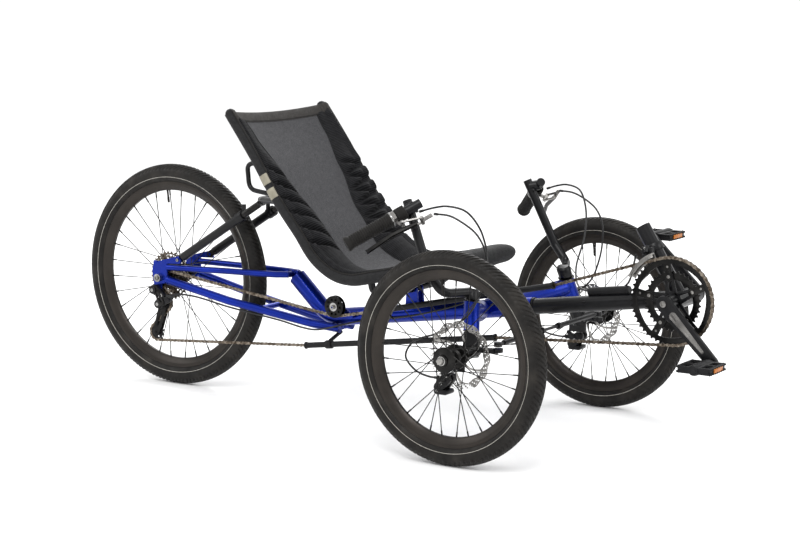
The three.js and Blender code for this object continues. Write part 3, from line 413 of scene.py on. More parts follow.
def piece(name, shape, material, body, stands_for=(), sharp=38):
    """Makes one named mesh. With no body, it is attached to none."""
    data = bpy.data.meshes.new(name)
    data.from_pydata(shape.points, [], shape.faces)
    if any(shape.lay):
        layer = data.attributes.new("lay", "FLOAT_VECTOR", "POINT")
        layer.data.foreach_set("vector", [c for lay in shape.lay for c in lay])
    data.materials.append(material)
    obj = placed(name, data)
    face_out(data)
    data.shade_smooth()
    data.set_sharp_from_angle(angle=math.radians(sharp))
    if body:
        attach(obj, body)
    if stands_for:
        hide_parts(*stands_for)
    return obj


def face_out(data):
    made = bmesh.new()
    made.from_mesh(data)
    bmesh.ops.remove_doubles(made, verts=made.verts, dist=1e-6)
    bmesh.ops.recalc_face_normals(made, faces=made.faces)
    made.to_mesh(data)
    made.free()


def circle(x, z, r, count=32):
    return [(x + a, z + b) for a, b in (polar(r, angle) for angle in angles(count))]


def corner(before, here, after, reach, steps):
    """Points of a curve that cuts the corner at here, starting and ending reach away from it."""
    a, b = here + before.normalized() * reach, here + after.normalized() * reach
    shares = [k / steps for k in range(steps + 1)]
    return [a * (1 - t) ** 2 + here * 2 * t * (1 - t) + b * t * t for t in shares]


def rounded_corners(corners, radius):
    made = []
    for i, spot in enumerate(corners):
        here = Vector(spot)
        before, after = Vector(corners[i - 1]) - here, Vector(corners[(i + 1) % len(corners)]) - here
        reach = min(radius, before.length * 0.45, after.length * 0.45)
        made += [tuple(p) for p in corner(before, here, after, reach, 4)]
    return made


def filleted(points, radius, steps=8):
    """A polyline in space with its corners rounded."""
    made = [points[0]]
    for last, here, following in zip(points, points[1:], points[2:]):
        before, after = last - here, following - here
        reach = radius * MM * math.tan((math.pi - before.angle(after)) / 2)
        reach = min(reach, before.length * 0.46, after.length * 0.46)
        made += corner(before, here, after, reach, steps)
    return made + [points[-1]]


def flowing(points, steps=8):
    """A smooth curve through points (centripetal Catmull-Rom)."""
    whole = [points[0] * 2 - points[1], *points, points[-1] * 2 - points[-2]]
    made = []
    for a, b, c, d in zip(whole, whole[1:], whole[2:], whole[3:]):
        ta = 0.0
        tb = ta + math.sqrt((b - a).length)
        tc = tb + math.sqrt((c - b).length)
        td = tc + math.sqrt((d - c).length)
        for k in range(steps):
            t = tb + (tc - tb) * k / steps
            p = a.lerp(b, (t - ta) / (tb - ta))
            q = b.lerp(c, (t - tb) / (tc - tb))
            r = c.lerp(d, (t - tc) / (td - tc))
            early, late = p.lerp(q, (t - ta) / (tc - ta)), q.lerp(r, (t - tb) / (td - tb))
            made.append(early.lerp(late, (t - tb) / (tc - tb)))
    return made + [points[-1]]


def tapered(x0, z0, r0, x1, z1, r1, steps=10):
    """Outline of a slot-shaped plate with round ends of two sizes."""
    along = math.atan2(z1 - z0, x1 - x0)
    lean = math.acos((r0 - r1) / math.hypot(x1 - x0, z1 - z0))
    made = []
    for x, z, r, first, sweep in ((x1, z1, r1, -lean, 2 * lean), (x0, z0, r0, lean, TAU - 2 * lean)):
        for k in range(steps + 1):
            a, b = polar(r, along + (first + sweep * k / steps))
            made.append((x + a, z + b))
    return made


def pitch_radius(teeth):
    return CHAIN_PITCH / 2 / math.sin(math.pi / teeth)


def teeth_outline(teeth, turn=0.0):
    """A sprocket's edge: a flat root, two flanks and a short tip for each tooth."""
    r = pitch_radius(teeth)
    tooth = ((-0.33, -3.0), (-0.19, -0.6), (-0.07, 2.0), (0.07, 2.0), (0.19, -0.6), (0.33, -3.0))
    return [polar(r + rise, turn + TAU * (i + 0.5 + part) / teeth)
            for i in range(teeth) for part, rise in tooth]


def smoothstep(low, high, value):
    t = min(max((value - low) / (high - low), 0.0), 1.0)
    return t * t * (3 - 2 * t)


# ---------- wheels ----------
TYRE_HALF = 23
TREAD_EDGE = math.radians(60)            # how far the tread reaches round from the crown
SHOULDER = math.radians(149)             # where the tyre meets the rim
STRIPE = math.radians(113)
CENTRE_RIB = 0.11                        # the uncut middle, as a share of TREAD_EDGE
WALL_GROOVE = 1.16                       # the fine groove beside the tread, likewise
TREAD_SWEEP = 1.7                        # blocks that a groove passes on its way to the edge


def make_tyre(body, pitches):
    """The tread with its blocks and grooves, and the reflective stripe round each wall."""
    node = body + "_tyre"
    centre = middle(node)
    crown = half_height(node) - TYRE_HALF
    bead = half_height(body + "_rim") + 1
    inward = (crown - bead) / math.cos(math.pi - SHOULDER)
    columns = 40
    lands = ((0.0, 0.0), (0.50, 0.0), (0.60, 2.0), (0.90, 2.0))
    rings = []
    for i in range(pitches):
        for share, depth in lands:
            ring = []
            for j in range(columns + 1):
                lean = -SHOULDER + 2 * SHOULDER * j / columns
                spread = min(abs(lean) / TREAD_EDGE, 1.0)
                cut = depth if CENTRE_RIB < abs(lean) / TREAD_EDGE < 1 else 0.0
                cut += 0.7 * math.exp(-((abs(lean) - TREAD_EDGE * WALL_GROOVE) / 0.05) ** 2)
                angle = TAU * (i + share + TREAD_SWEEP * spread) / pitches
                fall = TYRE_HALF if math.cos(lean) > 0 else inward
                r = crown + fall * math.cos(lean) - cut * math.cos(lean * 0.6)
                ring.append(centre + around(r, angle, (TYRE_HALF - cut * 0.5) * math.sin(lean)) * MM)
            rings.append(ring)
    shape = Shape()
    shape.skin(rings, closed=True)
    piece(node + "_tread", shape, TYRE, body, [node], sharp=50)

    stripe = Shape()
    for side in (-1, 1):
        ring = []
        for part, proud in ((-0.022, -0.3), (-0.022, 0.3), (0.022, 0.3), (0.022, -0.3)):
            angle = STRIPE + part
            ring.append((crown + (inward + proud) * math.cos(angle),
                         side * (TYRE_HALF + proud) * math.sin(angle)))
        stripe.turned(centre, ring, Y, 144)
    piece(node + "_stripe", stripe, BAND, body)


def make_rim(body):
    node = body + "_rim"
    centre = middle(node)
    r = half_height(node)
    half = [(r - 22, 0), (r - 22.4, 3.4), (r - 20.6, 5.6), (r - 14, 9.6), (r - 8.4, 12.2),
            (r - 6.8, 12.9), (r - 2.6, 13.2), (r + 1.6, 13.4), (r + 2.4, 12.4), (r + 1.6, 11.2),
            (r - 3, 10.6), (r - 6, 8), (r - 7, 0)]
    shape = Shape()
    shape.turned(centre, half + [(a, -b) for a, b in half[-2:0:-1]], Y, 120)
    piece(node + "_shell", shape, RIM, body, [node], sharp=28)

    valve = Shape()
    out = around(1, math.radians(97))
    valve.turned(centre + out * (r - 22) * MM,
                 [(0.01, 3), (3.2, 3), (3.2, -2), (2.6, -3), (2.6, -20), (3.1, -21), (3.1, -31), (2.4, -34),
                  (0.01, -34)], out, 16)
    piece(node + "_valve", valve, RUBBER, body)


def make_spokes(body, centre, rim_r, flanges):
    """Crossed spokes: each flange pulls half of them forwards and half back."""
    shape, nipples = Shape(), Shape()
    for i in range(SPOKES):
        flange_r, flange_y = flanges[i % 2]
        pull = 1 if i % 4 < 2 else -1
        rim_angle = TAU * (i + 0.5) / SPOKES
        side = 1 if flange_y > 0 else -1
        lift = side * (2.2 if pull > 0 else -2.2)
        hub = centre + around(flange_r, rim_angle + pull * SPOKE_CROSSING, flange_y + lift) * MM
        rim = centre + around(rim_r, rim_angle, side * 2.5) * MM
        shape.tube([hub, hub.lerp(rim, 0.5), rim], [1.25, 1.1, 1.25], 6)
        shape.turned(hub, [(0.01, -1.6), (2.0, -1.2), (2.0, 0.8), (0.01, 1.4)], Y, 8)
        nipples.tube([rim.lerp(hub, 0.075), rim.lerp(hub, -0.01)], 1.9, 8)
    piece(body + "_spokes", shape, DARK_STEEL, body)
    piece(body + "_nipples", nipples, DARK_STEEL, body)


def make_wheel(body, pitches, flanges, hub_profile):
    """Tyre, rim, spokes and hub shell; returns the wheel's middle."""
    make_tyre(body, pitches)
    make_rim(body)
    centre = middle(body + "_tyre")
    make_spokes(body, centre, half_height(body + "_rim") - 21, flanges)
    hub = Shape()
    hub.turned(centre, hub_profile, Y, 48)
    piece(body + "_hub_shell", hub, DARK_STEEL, body, [body + "_hub"], sharp=30)
    return centre


def make_front_wheel(word, side):
    body = "front_wheel_" + word
    half = [(7, 36.8), (11, 37), (13.5, 36), (14.5, 33), (14.5, 29.6), (17, 28.2), (28.6, 25.4),
            (29.6, 24.2), (29.6, 21.8), (28.6, 20.6), (19, 19.6), (14.4, 16), (12.8, 10), (12.4, 0)]
    profile = half + [(a, -b) for a, b in half[-2::-1]] + [(6.8, -30), (6.8, 30)]
    centre = make_wheel(body, 120, ((25.5, 23), (25.5, -23)), profile)
    ring = Shape()
    lip = ((7.2, 0.2), (10.8, 0.2), (10.8, 0.9), (9.6, 1.5), (7.2, 1.5))
    for outward in (-1, 1):
        ring.turned(centre + Y * outward * 37 * MM, [(r, outward * t) for r, t in lip], Y, 40)
    piece(body + "_bearing_ring", ring, SILVER, body)
    carrier = Shape()
    rotor = Vector((centre.x, side * ROTOR_Y * MM, centre.z))
    carrier.turned(rotor, collar(8, 20.5, 22, 3.4, 2.4), Y, 36)
    for angle in angles(6):
        carrier.bolt(rotor + around(16, angle, -side * 3.2) * MM, Y * -side, 3.2, 2.6)
    carrier.tube([rotor, centre + Y * (-side * 37) * MM], 12.5, 32)
    piece(body + "_rotor_carrier", carrier, DARK_STEEL, body)
    make_rotor(word, rotor, body)


def make_rotor(word, centre, body):
    """A wavy disc on six swept arms, drilled round its braking band."""
    wave = [polar(78.6 + 1.9 * math.cos(12 * a), a) for a in angles(192)]
    holes = [[polar(63.4 + 1.8 * math.cos(12 * a + 2), a) for a in angles(144)]]
    for start in angles(36):
        for radius, size, turn in ((67.6, 1.9, 0.0), (71.6, 2.2, 0.05), (75.4, 1.6, 0.1)):
            holes.append(circle(*polar(radius, start + turn), size, 8))
    shape = Shape()
    shape.plate(centre, wave, holes, 1.9, 0.15)
    for start in angles(6):
        rings = []
        for k in range(9):
            t = k / 8
            angle = start + 0.62 * t
            cross = Vector((-math.sin(angle + 0.5), 0, math.cos(angle + 0.5)))
            width = 4.6 - 2.6 * math.sin(math.pi * t) if t < 0.5 else 2.0 + 1.8 * (t - 0.5)
            spot = centre + around(1, angle) * (19 + 46.6 * t) * MM
            rings.append([spot + (cross * width * a + Y * b) * MM
                          for a, b in ((-1, -0.9), (1, -0.9), (1, 0.9), (-1, 0.9))])
        shape.skin(rings)
    shape.turned(centre, [(17.6, -0.95), (24, -0.95), (24, 0.95), (17.6, 0.95)], Y, 36)
    piece("brake_rotor_" + word + "_disc", shape, STEEL, body, ["brake_rotor_" + word], sharp=30)


def make_rear_wheel():
    make_wheel("rear_wheel", 146, ((24, 33), (24, -19)),
               [(6.8, -24), (13, -24), (15, -22), (25.4, -20.4), (26.6, -19), (25.4, -17.6), (17, -16),
                (13.6, -12), (12.6, 0), (12.6, 18), (14, 28), (18, 31), (25.4, 31.6), (26.6, 33),
                (25.4, 34.6), (16, 36), (12, 39), (12, 58), (10, 61.6), (6.8, 61.6)])


def make_cassette():
    shape = Shape()
    x, z = REAR_AXLE
    for i, teeth in enumerate(COG_TEETH):
        y = FIRST_COG_Y - COG_PITCH_Y * i
        holes = [circle(0, 0, 14 if teeth > 12 else 8, 24)]
        if teeth > 17:
            r = pitch_radius(teeth)
            inner, outer = max(18, r * 0.42), r - 7
            for start in angles(6):
                span = [start + 0.75 * t / 6 for t in range(7)]
                back = [polar(inner, a + 0.1) for a in reversed(span)]
                holes.append([polar(outer, a) for a in span] + back)
        shape.plate(at(x, y, z), teeth_outline(teeth, 0.1 * i), holes, 1.9, 0.25)
    shape.turned(at(x, 0, z), [(7, FIRST_COG_Y + 2), (15.6, FIRST_COG_Y + 2), (15.6, COG_Y + 2),
                               (15.6, COG_Y - 1.4), (13, COG_Y - 2.4), (7, COG_Y - 2.4)], Y, 40)
    piece("cassette_cogs", shape, COG_STEEL, "cassette", ["cassette"], sharp=30)


# ---------- cranks, rings and pedals ----------
def arm_end(side):
    x, z = polar(CRANK_LENGTH, CRANK_ANGLE)
    return CRANK[0] - side * x, CRANK[1] - side * z


def make_crankset():
    x, z = CRANK
    centre = at(x, CHAINLINE_Y, z)
    large, spider, bolts = Shape(), Shape(), Shape()
    inner = [polar(85.4 + 1.6 * math.cos(5 * (a - CRANK_ANGLE)), a) for a in angles(120)]
    large.plate(centre, teeth_outline(LARGE_RING), [inner], 2.4, 0.3)
    for turn in angles(5):
        c, s = polar(1, CRANK_ANGLE + turn)
        large.plate(centre, tapered(54 * c, 54 * s, 8, 86 * c, 86 * s, 9), [], 2.3, 0.4)
        spider.plate(centre + Y * 3.1 * MM, tapered(0, 0, 17, 58 * c, 58 * s, 9.5),
                     [tapered(28 * c, 28 * s, 4.6, 43 * c, 43 * s, 3)], 4.2, 1.2)
        for r, size, height in ((57, 4, 2.0), (80, 2.6, 1.4)):
            bolts.bolt(centre + Vector((r * c, -1.2, r * s)) * MM, -Y, size, height)
    piece("chainring_large_teeth", large, DARK_STEEL, "crank", ["chainring_large"], sharp=30)
    small = Shape()
    small.plate(centre + Y * 6.6 * MM, teeth_outline(SMALL_RING), [circle(0, 0, 50, 60)], 2.0, 0.3)
    piece("chainring_small_teeth", small, DARK_STEEL, "crank", ["chainring_small"], sharp=30)
    piece("chainring_bolts", bolts, STEEL, "crank")

    for word, side in SIDES:
        end = arm_end(side)
        ex, ez = end[0] - x, end[1] - z
        arm, axle = Shape(), at(x, 0, z)
        arm.plate(at(x, side * 88.5, z), tapered(0, 0, 19, ex, ez, 14, 18), [], 13, 3.2)
        if side < 0:
            arm.turned(axle, [(12.4, -46), (19, -46), (19, -82), (12.4, -82)], Y, 40)
            arm.add(spider.points, spider.faces)
        else:
            arm.turned(axle, [(0.01, 44), (19, 44), (19, 82), (0.01, 82)], Y, 40)
            arm.turned(axle, [(0.01, -46), (12, -46), (12, 80), (0.01, 80)], Y, 32)
        arm.tube([at(end[0], side * y, end[1]) for y in (90, 194)], 6.5, 24)
        arm.turned(at(end[0], side * 96, end[1]), [(0.01, 0), (9, 0), (9, 5), (7.6, 6.5), (0.01, 6.5)],
                   Y * side, 6)
        node = "crank_arm_" + word
        piece(node + "_forging", arm, BLACK, "crank", [node], sharp=30)
        trim = Shape()
        ux, uz = ex / CRANK_LENGTH, ez / CRANK_LENGTH
        inlay = tapered(36 * ux, 36 * uz, 9.5, 140 * ux, 140 * uz, 4, 12)
        trim.plate(at(x, side * 95.1, z), inlay, [], 0.8, 0.3)
        trim.bolt(at(x, side * 94.8, z), Y * side, 7.5, 3)
        piece(node + "_inlay", trim, STEEL, "crank")


def serrated(reach, half):
    """A pedal's outline: straight ends, and a row of gripping teeth along the front and back."""
    made = []
    for end in (1, -1):
        for k in range(17):
            made.append((end * (reach + (3.0 if k % 2 else 0.0)), end * (-half + 2 * half * k / 16)))
    return made


def make_pedal(word, side):
    ex, ez = arm_end(side)
    centre = at(ex, side * PEDAL_Y, ez)
    body = "pedal_" + word
    cage, lens = Shape(), Shape()
    windows = [rounded_corners([(sx * 34, y0), (sx * 34, y1), (sx * 15, y1), (sx * 15, y0)], 5)
               for sx in (-1, 1) for y0, y1 in ((-36, -3), (3, 36))]
    for lift in (-5.6, 5.6):
        cage.plate(centre + Z * lift * MM, serrated(40, 43), windows, 4.4, 0.8, u=X, v=Y)
    for sx in (-1, 1):
        cage.block(centre + X * sx * 37 * MM, (4, 12, 80), 1)
        lens.block(centre + X * sx * 40.4 * MM, (3.2, 10, 46))
    for sy in (-1, 0, 1):
        cage.block(centre + Y * sy * 39 * MM, (72, 12, 5), 1)
    cage.turned(centre, [(7.2, -44), (11, -44), (13, -34), (12, 0), (13, 34), (11, 44), (7.2, 44)], Y, 28)
    for sz in (-1, 1):
        for sx in (-1, 1):
            for k in range(9):
                spot = centre + Vector((sx * 36.6, -36 + 9 * k, sz * 7.6)) * MM
                cage.turned(spot, [(0.01, 0), (2.6, 0), (1.2, 2), (0.01, 2)], Z * sz, 4)
    piece(body + "_cage", cage, PLASTIC, body, [body], sharp=32)
    piece(body + "_reflectors", lens, AMBER, body)


# ---------- chain ----------
CHAIN_STOPS = (
    (*CRANK, pitch_radius(LARGE_RING), -1, CHAINLINE_Y),
    (-65, 240, 0, -1, -52),
    (-629, 162, 0, -1, -54),
    (*TENSION_PULLEY, pitch_radius(PULLEY_TEETH), -1, COG_Y),
    (*GUIDE_PULLEY, pitch_radius(PULLEY_TEETH), 1, COG_Y),
    (*REAR_AXLE, pitch_radius(COG_TEETH[-1]), -1, COG_Y),
    (*IDLER, 25, 1, CHAINLINE_Y),
    (-423, 269, 0, 1, CHAINLINE_Y),
    (91, 381, 0, -1, CHAINLINE_Y),
)


def chain_line():
    """The chain's closed line: straight runs between stops and arcs round the toothed wheels."""
    count = len(CHAIN_STOPS)
    leaving = []
    for i, (x0, z0, r0, turn0, _) in enumerate(CHAIN_STOPS):
        x1, z1, r1, turn1, _ = CHAIN_STOPS[(i + 1) % count]
        lean = math.asin((turn1 * r1 - turn0 * r0) / math.hypot(x1 - x0, z1 - z0))
        leaving.append(math.atan2(z1 - z0, x1 - x0) - lean)
    points = []
    for i, (x, z, r, turn, y) in enumerate(CHAIN_STOPS):
        bend = (leaving[i] - leaving[i - 1] + math.pi) % TAU - math.pi
        if r > 0 and bend * turn < 0:
            bend += TAU * turn
        steps = max(2, math.ceil(abs(bend) / 0.12)) if r > 0 else 0
        for k in range(steps + 1):
            angle = leaving[i - 1] + (bend * k / steps if steps else 0)
            points.append(at(x + turn * r * math.sin(angle), y, z - turn * r * math.cos(angle)))
    return points


def evenly(points, pitch):
    """Points a whole number of pitches apart round a closed line."""
    closed = points + points[:1]
    lengths = [0.0]
    for a, b in zip(closed, closed[1:]):
        lengths.append(lengths[-1] + (b - a).length)
    count = 2 * round(lengths[-1] / pitch / 2)
    made, leg = [], 0
    for i in range(count):
        along = lengths[-1] * i / count
        while lengths[leg + 1] < along:
            leg += 1
        share = (along - lengths[leg]) / (lengths[leg + 1] - lengths[leg])
        made.append(closed[leg].lerp(closed[leg + 1], share))
    return made


def link_outline(length):
    """One side plate of the chain: two round ends and a narrower waist."""
    made = []
    for cx, turns in ((length, (-90, -45, 0, 45, 90)), (0, (90, 135, 180, 225, 270))):
        if cx == 0:
            made.append((length / 2, 2.7))
        for degrees in turns:
            a, b = polar(4.0, math.radians(degrees))
            made.append((cx + a, b))
    return made + [(length / 2, -2.7)]


def make_chain():
    """Side plates and rollers all round, in three pieces where the cage's swing moves the chain."""
    pins = evenly(chain_line(), CHAIN_PITCH * MM)
    loop, return_run, cage_wrap = Shape(), Shape(), Shape()
    for i, here in enumerate(pins):
        if here.z < 0.172 and at(-1116, 0, 0).x < here.x < at(-629, 0, 0).x:
            shape = return_run
        elif here.z < 0.262 and here.x < at(-1030, 0, 0).x:
            shape = cage_wrap
        else:
            shape = loop
        there = pins[(i + 1) % len(pins)]
        along = (there - here).normalized()
        across = (Y - along * Y.dot(along)).normalized()
        up = along.cross(across)
        outline = link_outline((there - here).length / MM)
        offset = 2.5 if i % 2 else 1.75
        for y in (-offset, offset):
            shape.skin([[here + (along * a + up * b + across * (y + t)) * MM for a, b in outline]
                        for t in (-0.4, 0.4)])
        for half, r, sides in ((3.2, 1.8, 8), (1.3, 3.7, 10)):
            shape.tube([here - across * half * MM, here + across * half * MM], r, sides)
    piece("drive_chain_links", loop, CHAIN, "frame", ["drive_chain"], sharp=30)
    run = piece("drive_chain_return_run", return_run, CHAIN, None, sharp=30)
    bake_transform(run)
    wrap = piece("drive_chain_cage_wrap", cage_wrap, CHAIN, None, sharp=30)
    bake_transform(wrap)


def make_pulley(node, place):
    centre = at(place[0], COG_Y, place[1])
    shape = Shape()
    holes = [circle(0, 0, 4.2, 20)] + [circle(*polar(13, angle), 2.6, 12) for angle in angles(5)]
    shape.plate(centre, teeth_outline(PULLEY_TEETH), holes, 2.2, 0.3)
    shape.turned(centre, [(3.8, -4.4), (7, -4.4), (7, 4.4), (3.8, 4.4)], Y, 24)
    piece(node + "_teeth", shape, PLASTIC, node, [node], sharp=30)
    cap = Shape()
    cap.bolt(centre + Y * -4.6 * MM, -Y, 4.4, 3)
    piece(node + "_bolt", cap, STEEL, node)


def make_idler():
    centre = at(IDLER[0], CHAINLINE_Y, IDLER[1])
    shape = Shape()
    holes = [circle(0, 0, 4.8, 20)]
    rounds = [circle(*polar(19, angle), 3.4, 14) for angle in angles(10)]
    for y in (-5.7, 5.7):
        shape.plate(centre + Y * y * MM, circle(0, 0, 28.4, 72), holes + rounds, 1.6, 0.4)
    shape.plate(centre, teeth_outline(13), holes, 2.2, 0.3)
    shape.turned(centre, [(4.8, -9), (9, -7), (10, -5.2), (10, 5.2), (9, 7), (4.8, 9)], Y, 30)
    piece("idler_wheel_disc", shape, DARK_STEEL, "idler", ["idler_wheel"], sharp=30)
    cap = Shape()
    cap.bolt(centre - Y * 8.4 * MM, -Y, 5.4, 6)
    cap.turned(centre - Y * 7.6 * MM, [(5, 0), (11, 0), (11, 1.2), (5, 1.2)], -Y, 30)
    piece("idler_wheel_bolt", cap, SILVER, "idler")


def guide_tube(node, start, end, hung):
    """A chain guide tube with flared mouths, hung from the main tube by a clamp or held by a tab."""
    shape = Shape()
    along = (end - start).normalized()
    length = (end - start).length / MM
    shape.turned(start, [(5.7, 0), (9.6, 0), (9.4, 1.6), (7.7, 6), (7.5, 12), (7.5, length - 12),
                         (7.7, length - 6), (9.4, length - 1.6), (9.6, length), (5.7, length)], along, 24)
    if hung:
        foot = start + along * length * 0.87 * MM
        shape.turned(foot, collar(7.6, 10.6, 11.2, 9, 7.8), along, 24)
        top = Vector((foot.x, 0, 0.198))
        shape.tube([foot + Vector((0, 0.004, 0.009)), top], 5, 14)
        shape.bolt(top + Vector((0, -0.004, -0.004)), -Y, 4, 4)
    else:
        shape.block(at(-239, -36, 307), (12, 7, 26), 1)
    piece(node + "_pipe", shape, PLASTIC, "frame", [node], sharp=32)


# ---------- cables, round and whole along the routes the frame holds ----------
CABLE_R = 2.4
BRAKE_CABLE = (
    (-86, 302, 564), (-48, 299, 562), (-18, 298, 551), (22, 295, 525), (42, 291, 491), (46, 288, 455),
    (36, 292, 400), (4, 300, 336), (-70, 306, 290), (-138, 309, 262), (-158, 309, 226),
    (-132, 308, 196), (-92, 312, 186), (-66, 314, 186),
)
REAR_SHIFT_CABLE = (
    (-124, -305, 567), (-87, -296, 578), (-58, -290, 582), (-16, -278, 572), (10, -260, 534),
    (17, -240, 483), (9, -222, 452), (-6, -160, 408), (-24, -100, 386), (-50, -62, 368),
    (-82, -38, 352), (-128, -31, 328), (-184, -28, 306), (-239, -27, 288), (-330, -27, 263),
    (-420, -27, 247), (-500, -27, 231), (-545, -42, 218), (-600, -47, 205), (-650, -38, 204),
    (-720, -43, 217), (-874, -60, 240), (-990, -68, 260), (-1038, -82, 262), (-1051, -89, 256),
)
FRONT_SHIFT_CABLE = (
    (-124, 305, 567), (-87, 296, 578), (-58, 290, 582), (-16, 278, 572), (12, 258, 532),
    (34, 214, 470), (60, 120, 400), (110, 44, 366), (165, 8, 365), (230, 4, 374), (262, -2, 396),
    (280, -14, 440), (291, -24, 466),
)


def make_cable(node, route, body):
    """A round cable jacket with a ferrule at each end."""
    line = flowing([at(*p) for p in route], 7)
    shape = Shape()
    shape.tube(line, CABLE_R, 10)
    for start, ahead in ((line[0], line[1]), (line[-1], line[-2])):
        along = (ahead - start).normalized()
        shape.turned(start, [(0.01, 0), (3.0, 0), (3.2, 1), (3.2, 9), (2.8, 10), (0.01, 10)], along, 14)
    return piece(node + "_jacket", shape, CABLE, body, [node])


# ---------- seat ----------
RAIL = ((-757, 765), (-677, 657), (-604, 548), (-543, 474), (-498, 417), (-440, 380), (-385, 372),
        (-318, 385), (-240, 401), (-170, 413))
SEAT_PIVOT = (-330, 331)
BRACE = (-738, 538)
STRUT_TOP = (-757, 527)
STRUT_FOOT = (-1037, 354)


class SeatLine:
    """The rails' side view as a smooth line, with the way along it and the way to the rider."""

    def __init__(self):
        self.points = flowing([Vector((x, 0, z)) for x, z in RAIL], 12)
        self.run = [0.0]
        for a, b in zip(self.points, self.points[1:]):
            self.run.append(self.run[-1] + (b - a).length)
        self.length = self.run[-1]

    def here(self, along):
        """Place, direction and rider-side normal at a distance along the line, in millimetres."""
        along = min(max(along, 0.0), self.length - 1e-6)
        leg = next(i for i in range(len(self.run) - 1) if self.run[i + 1] >= along)
        span = self.run[leg + 1] - self.run[leg]
        place = self.points[leg].lerp(self.points[leg + 1], (along - self.run[leg]) / span)
        low, high = max(leg - 3, 0), min(leg + 4, len(self.points) - 1)
        way = (self.points[high] - self.points[low]).normalized()
        return place, way, Vector((-way.z, 0, way.x))

    def at(self, along, across, lift):
        place, _, up = self.here(along)
        spot = place + up * lift
        return at(spot.x, across, spot.z)


LINE = SeatLine()


def sag(along, across):
    """How far the cloth hangs behind the rails; less towards the nose."""
    share = along / LINE.length
    slack = SLING_SAG - 14 * smoothstep(0.08, 0.34, share) + 4 * smoothstep(0.62, 0.85, share)
    return -slack * (1 - min(abs(across) / SLING_EDGE, 1.0) ** 2)


def sling_front(along, across, lift=0.0):
    """A point over the cloth's front, carried on round the rail past its edge."""
    if abs(across) <= SLING_EDGE:
        return LINE.at(along, across, sag(along, across) + 3 + lift)
    side = 1 if across > 0 else -1
    turn = math.radians(104) - (abs(across) - SLING_EDGE) / 14.5
    r = RAIL_R + 3.4 + lift
    return LINE.at(along, side * (RAIL_Y + r * math.cos(turn)), r * math.sin(turn))


def cloth(name, material, rows, thick):
    """A closed sheet of even thickness; rows hold (along, across, lift) triples."""
    shape = Shape()
    top = [[sling_front(*spot) for spot in row] for row in rows]
    under = [[sling_front(a, b, c - thick) for a, b, c in row] for row in rows]
    lay = [[(b * MM, a * MM, 0) for a, b, c in row] for row in rows]
    shape.skin([row + below[::-1] for row, below in zip(top, under)], lay=[row + row[::-1] for row in lay])
    obj = piece(name, shape, material, "seat", sharp=60)
    return obj


def spread_out(low, high, count):
    return [low + (high - low) * k / (count - 1) for k in range(count)]


WING_MARKS = ((0.0, 158), (0.10, 150), (0.25, 126), (0.42, 92), (0.56, 84), (0.68, 94), (0.80, 124),
              (0.92, 156))


def wing_inner(along):
    """Half width of the plain middle panel, which narrows at the rider's waist."""
    share = along / LINE.length
    for (a, low), (b, high) in zip(WING_MARKS, WING_MARKS[1:]):
        if share <= b:
            return low + (high - low) * smoothstep(a, b, share)
    return WING_MARKS[-1][1]


def wing_groove(along, v, side):
    """0 to 1: how deep the quilting seams pull the wing in; v runs from its inner to outer edge."""
    pitch, first, last = 44, 0.17 * LINE.length, 0.52 * LINE.length
    if not first - 10 <= along <= last + 60:
        return 0.0
    gaps = []
    for here in [first + pitch * k for k in range(1, 8) if first + pitch * k < last]:
        if side < 0:
            gaps.append(abs(along - (here + 52 * (1 - v) ** 1.3)))
        else:
            gaps += [abs(along - (here + 22 * v)), abs(along - (here + 44 - 22 * v))]
    return math.exp(-(min(gaps) / 6.4) ** 2)


def make_wing(word, side):
    """A padded, crowned wing along the sling's edge, sewn down at both sides and along its seams."""
    first, last = 20, 0.925 * LINE.length
    shape = Shape()
    rows, lays = [], []
    for along in spread_out(first, last, 260):
        ends = min(1.0, (along - first) / 16, (last - along) / 40) if along not in (first, last) else 0.0
        ends = math.sqrt(max(ends, 0.0))
        share = along / LINE.length
        waist = smoothstep(0.12, 0.30, share) * (1 - smoothstep(0.62, 0.86, share))
        bulge = waist * (1 - wing_groove(along, 1.0, side))
        inner, outer = wing_inner(along), SLING_EDGE + 6 + 5 * bulge
        top, under, lay = [], [], []
        for k in range(25):
            v = k / 24
            across = side * (inner + (outer - inner) * v)
            crown = math.sin(math.pi * v ** 1.25) ** 0.6 if 0 < v < 1 else 0.0
            fill = 5.5 + 19 * waist
            puff = crown * fill * (1 - 0.86 * wing_groove(along, v, side)) * ends
            puff += 0.7 * math.sin(along / 31 + v * 5) * crown * ends
            top.append(sling_front(along, across, 0.4 + puff))
            under.append(sling_front(along, across, -0.8))
            lay.append((across * MM, along * MM, 0))
        rows.append(top + under[::-1])
        lays.append(lay + lay[::-1])
    shape.skin(rows, lay=lays)
    wing = piece("seat_wing_" + word, shape, QUILT, "seat", sharp=70)


def make_wing_seams(word, side):
    """Stitched cords along the wing's inner edge and along the seat's edge."""
    seam, edge = Shape(), Shape()
    seam.tube([sling_front(a, side * (wing_inner(a) - 0.6), 1.0)
               for a in spread_out(18, 0.925 * LINE.length, 150)], 1.3, 8)
    piece("seat_wing_piping_" + word, seam, TRIM, "seat")
    edge.tube([sling_front(a, side * (SLING_EDGE + 11), 2.0)
               for a in spread_out(6, LINE.length - 90, 150)], 1.5, 8)
    piece("seat_edge_piping_" + word, edge, HEM, "seat")


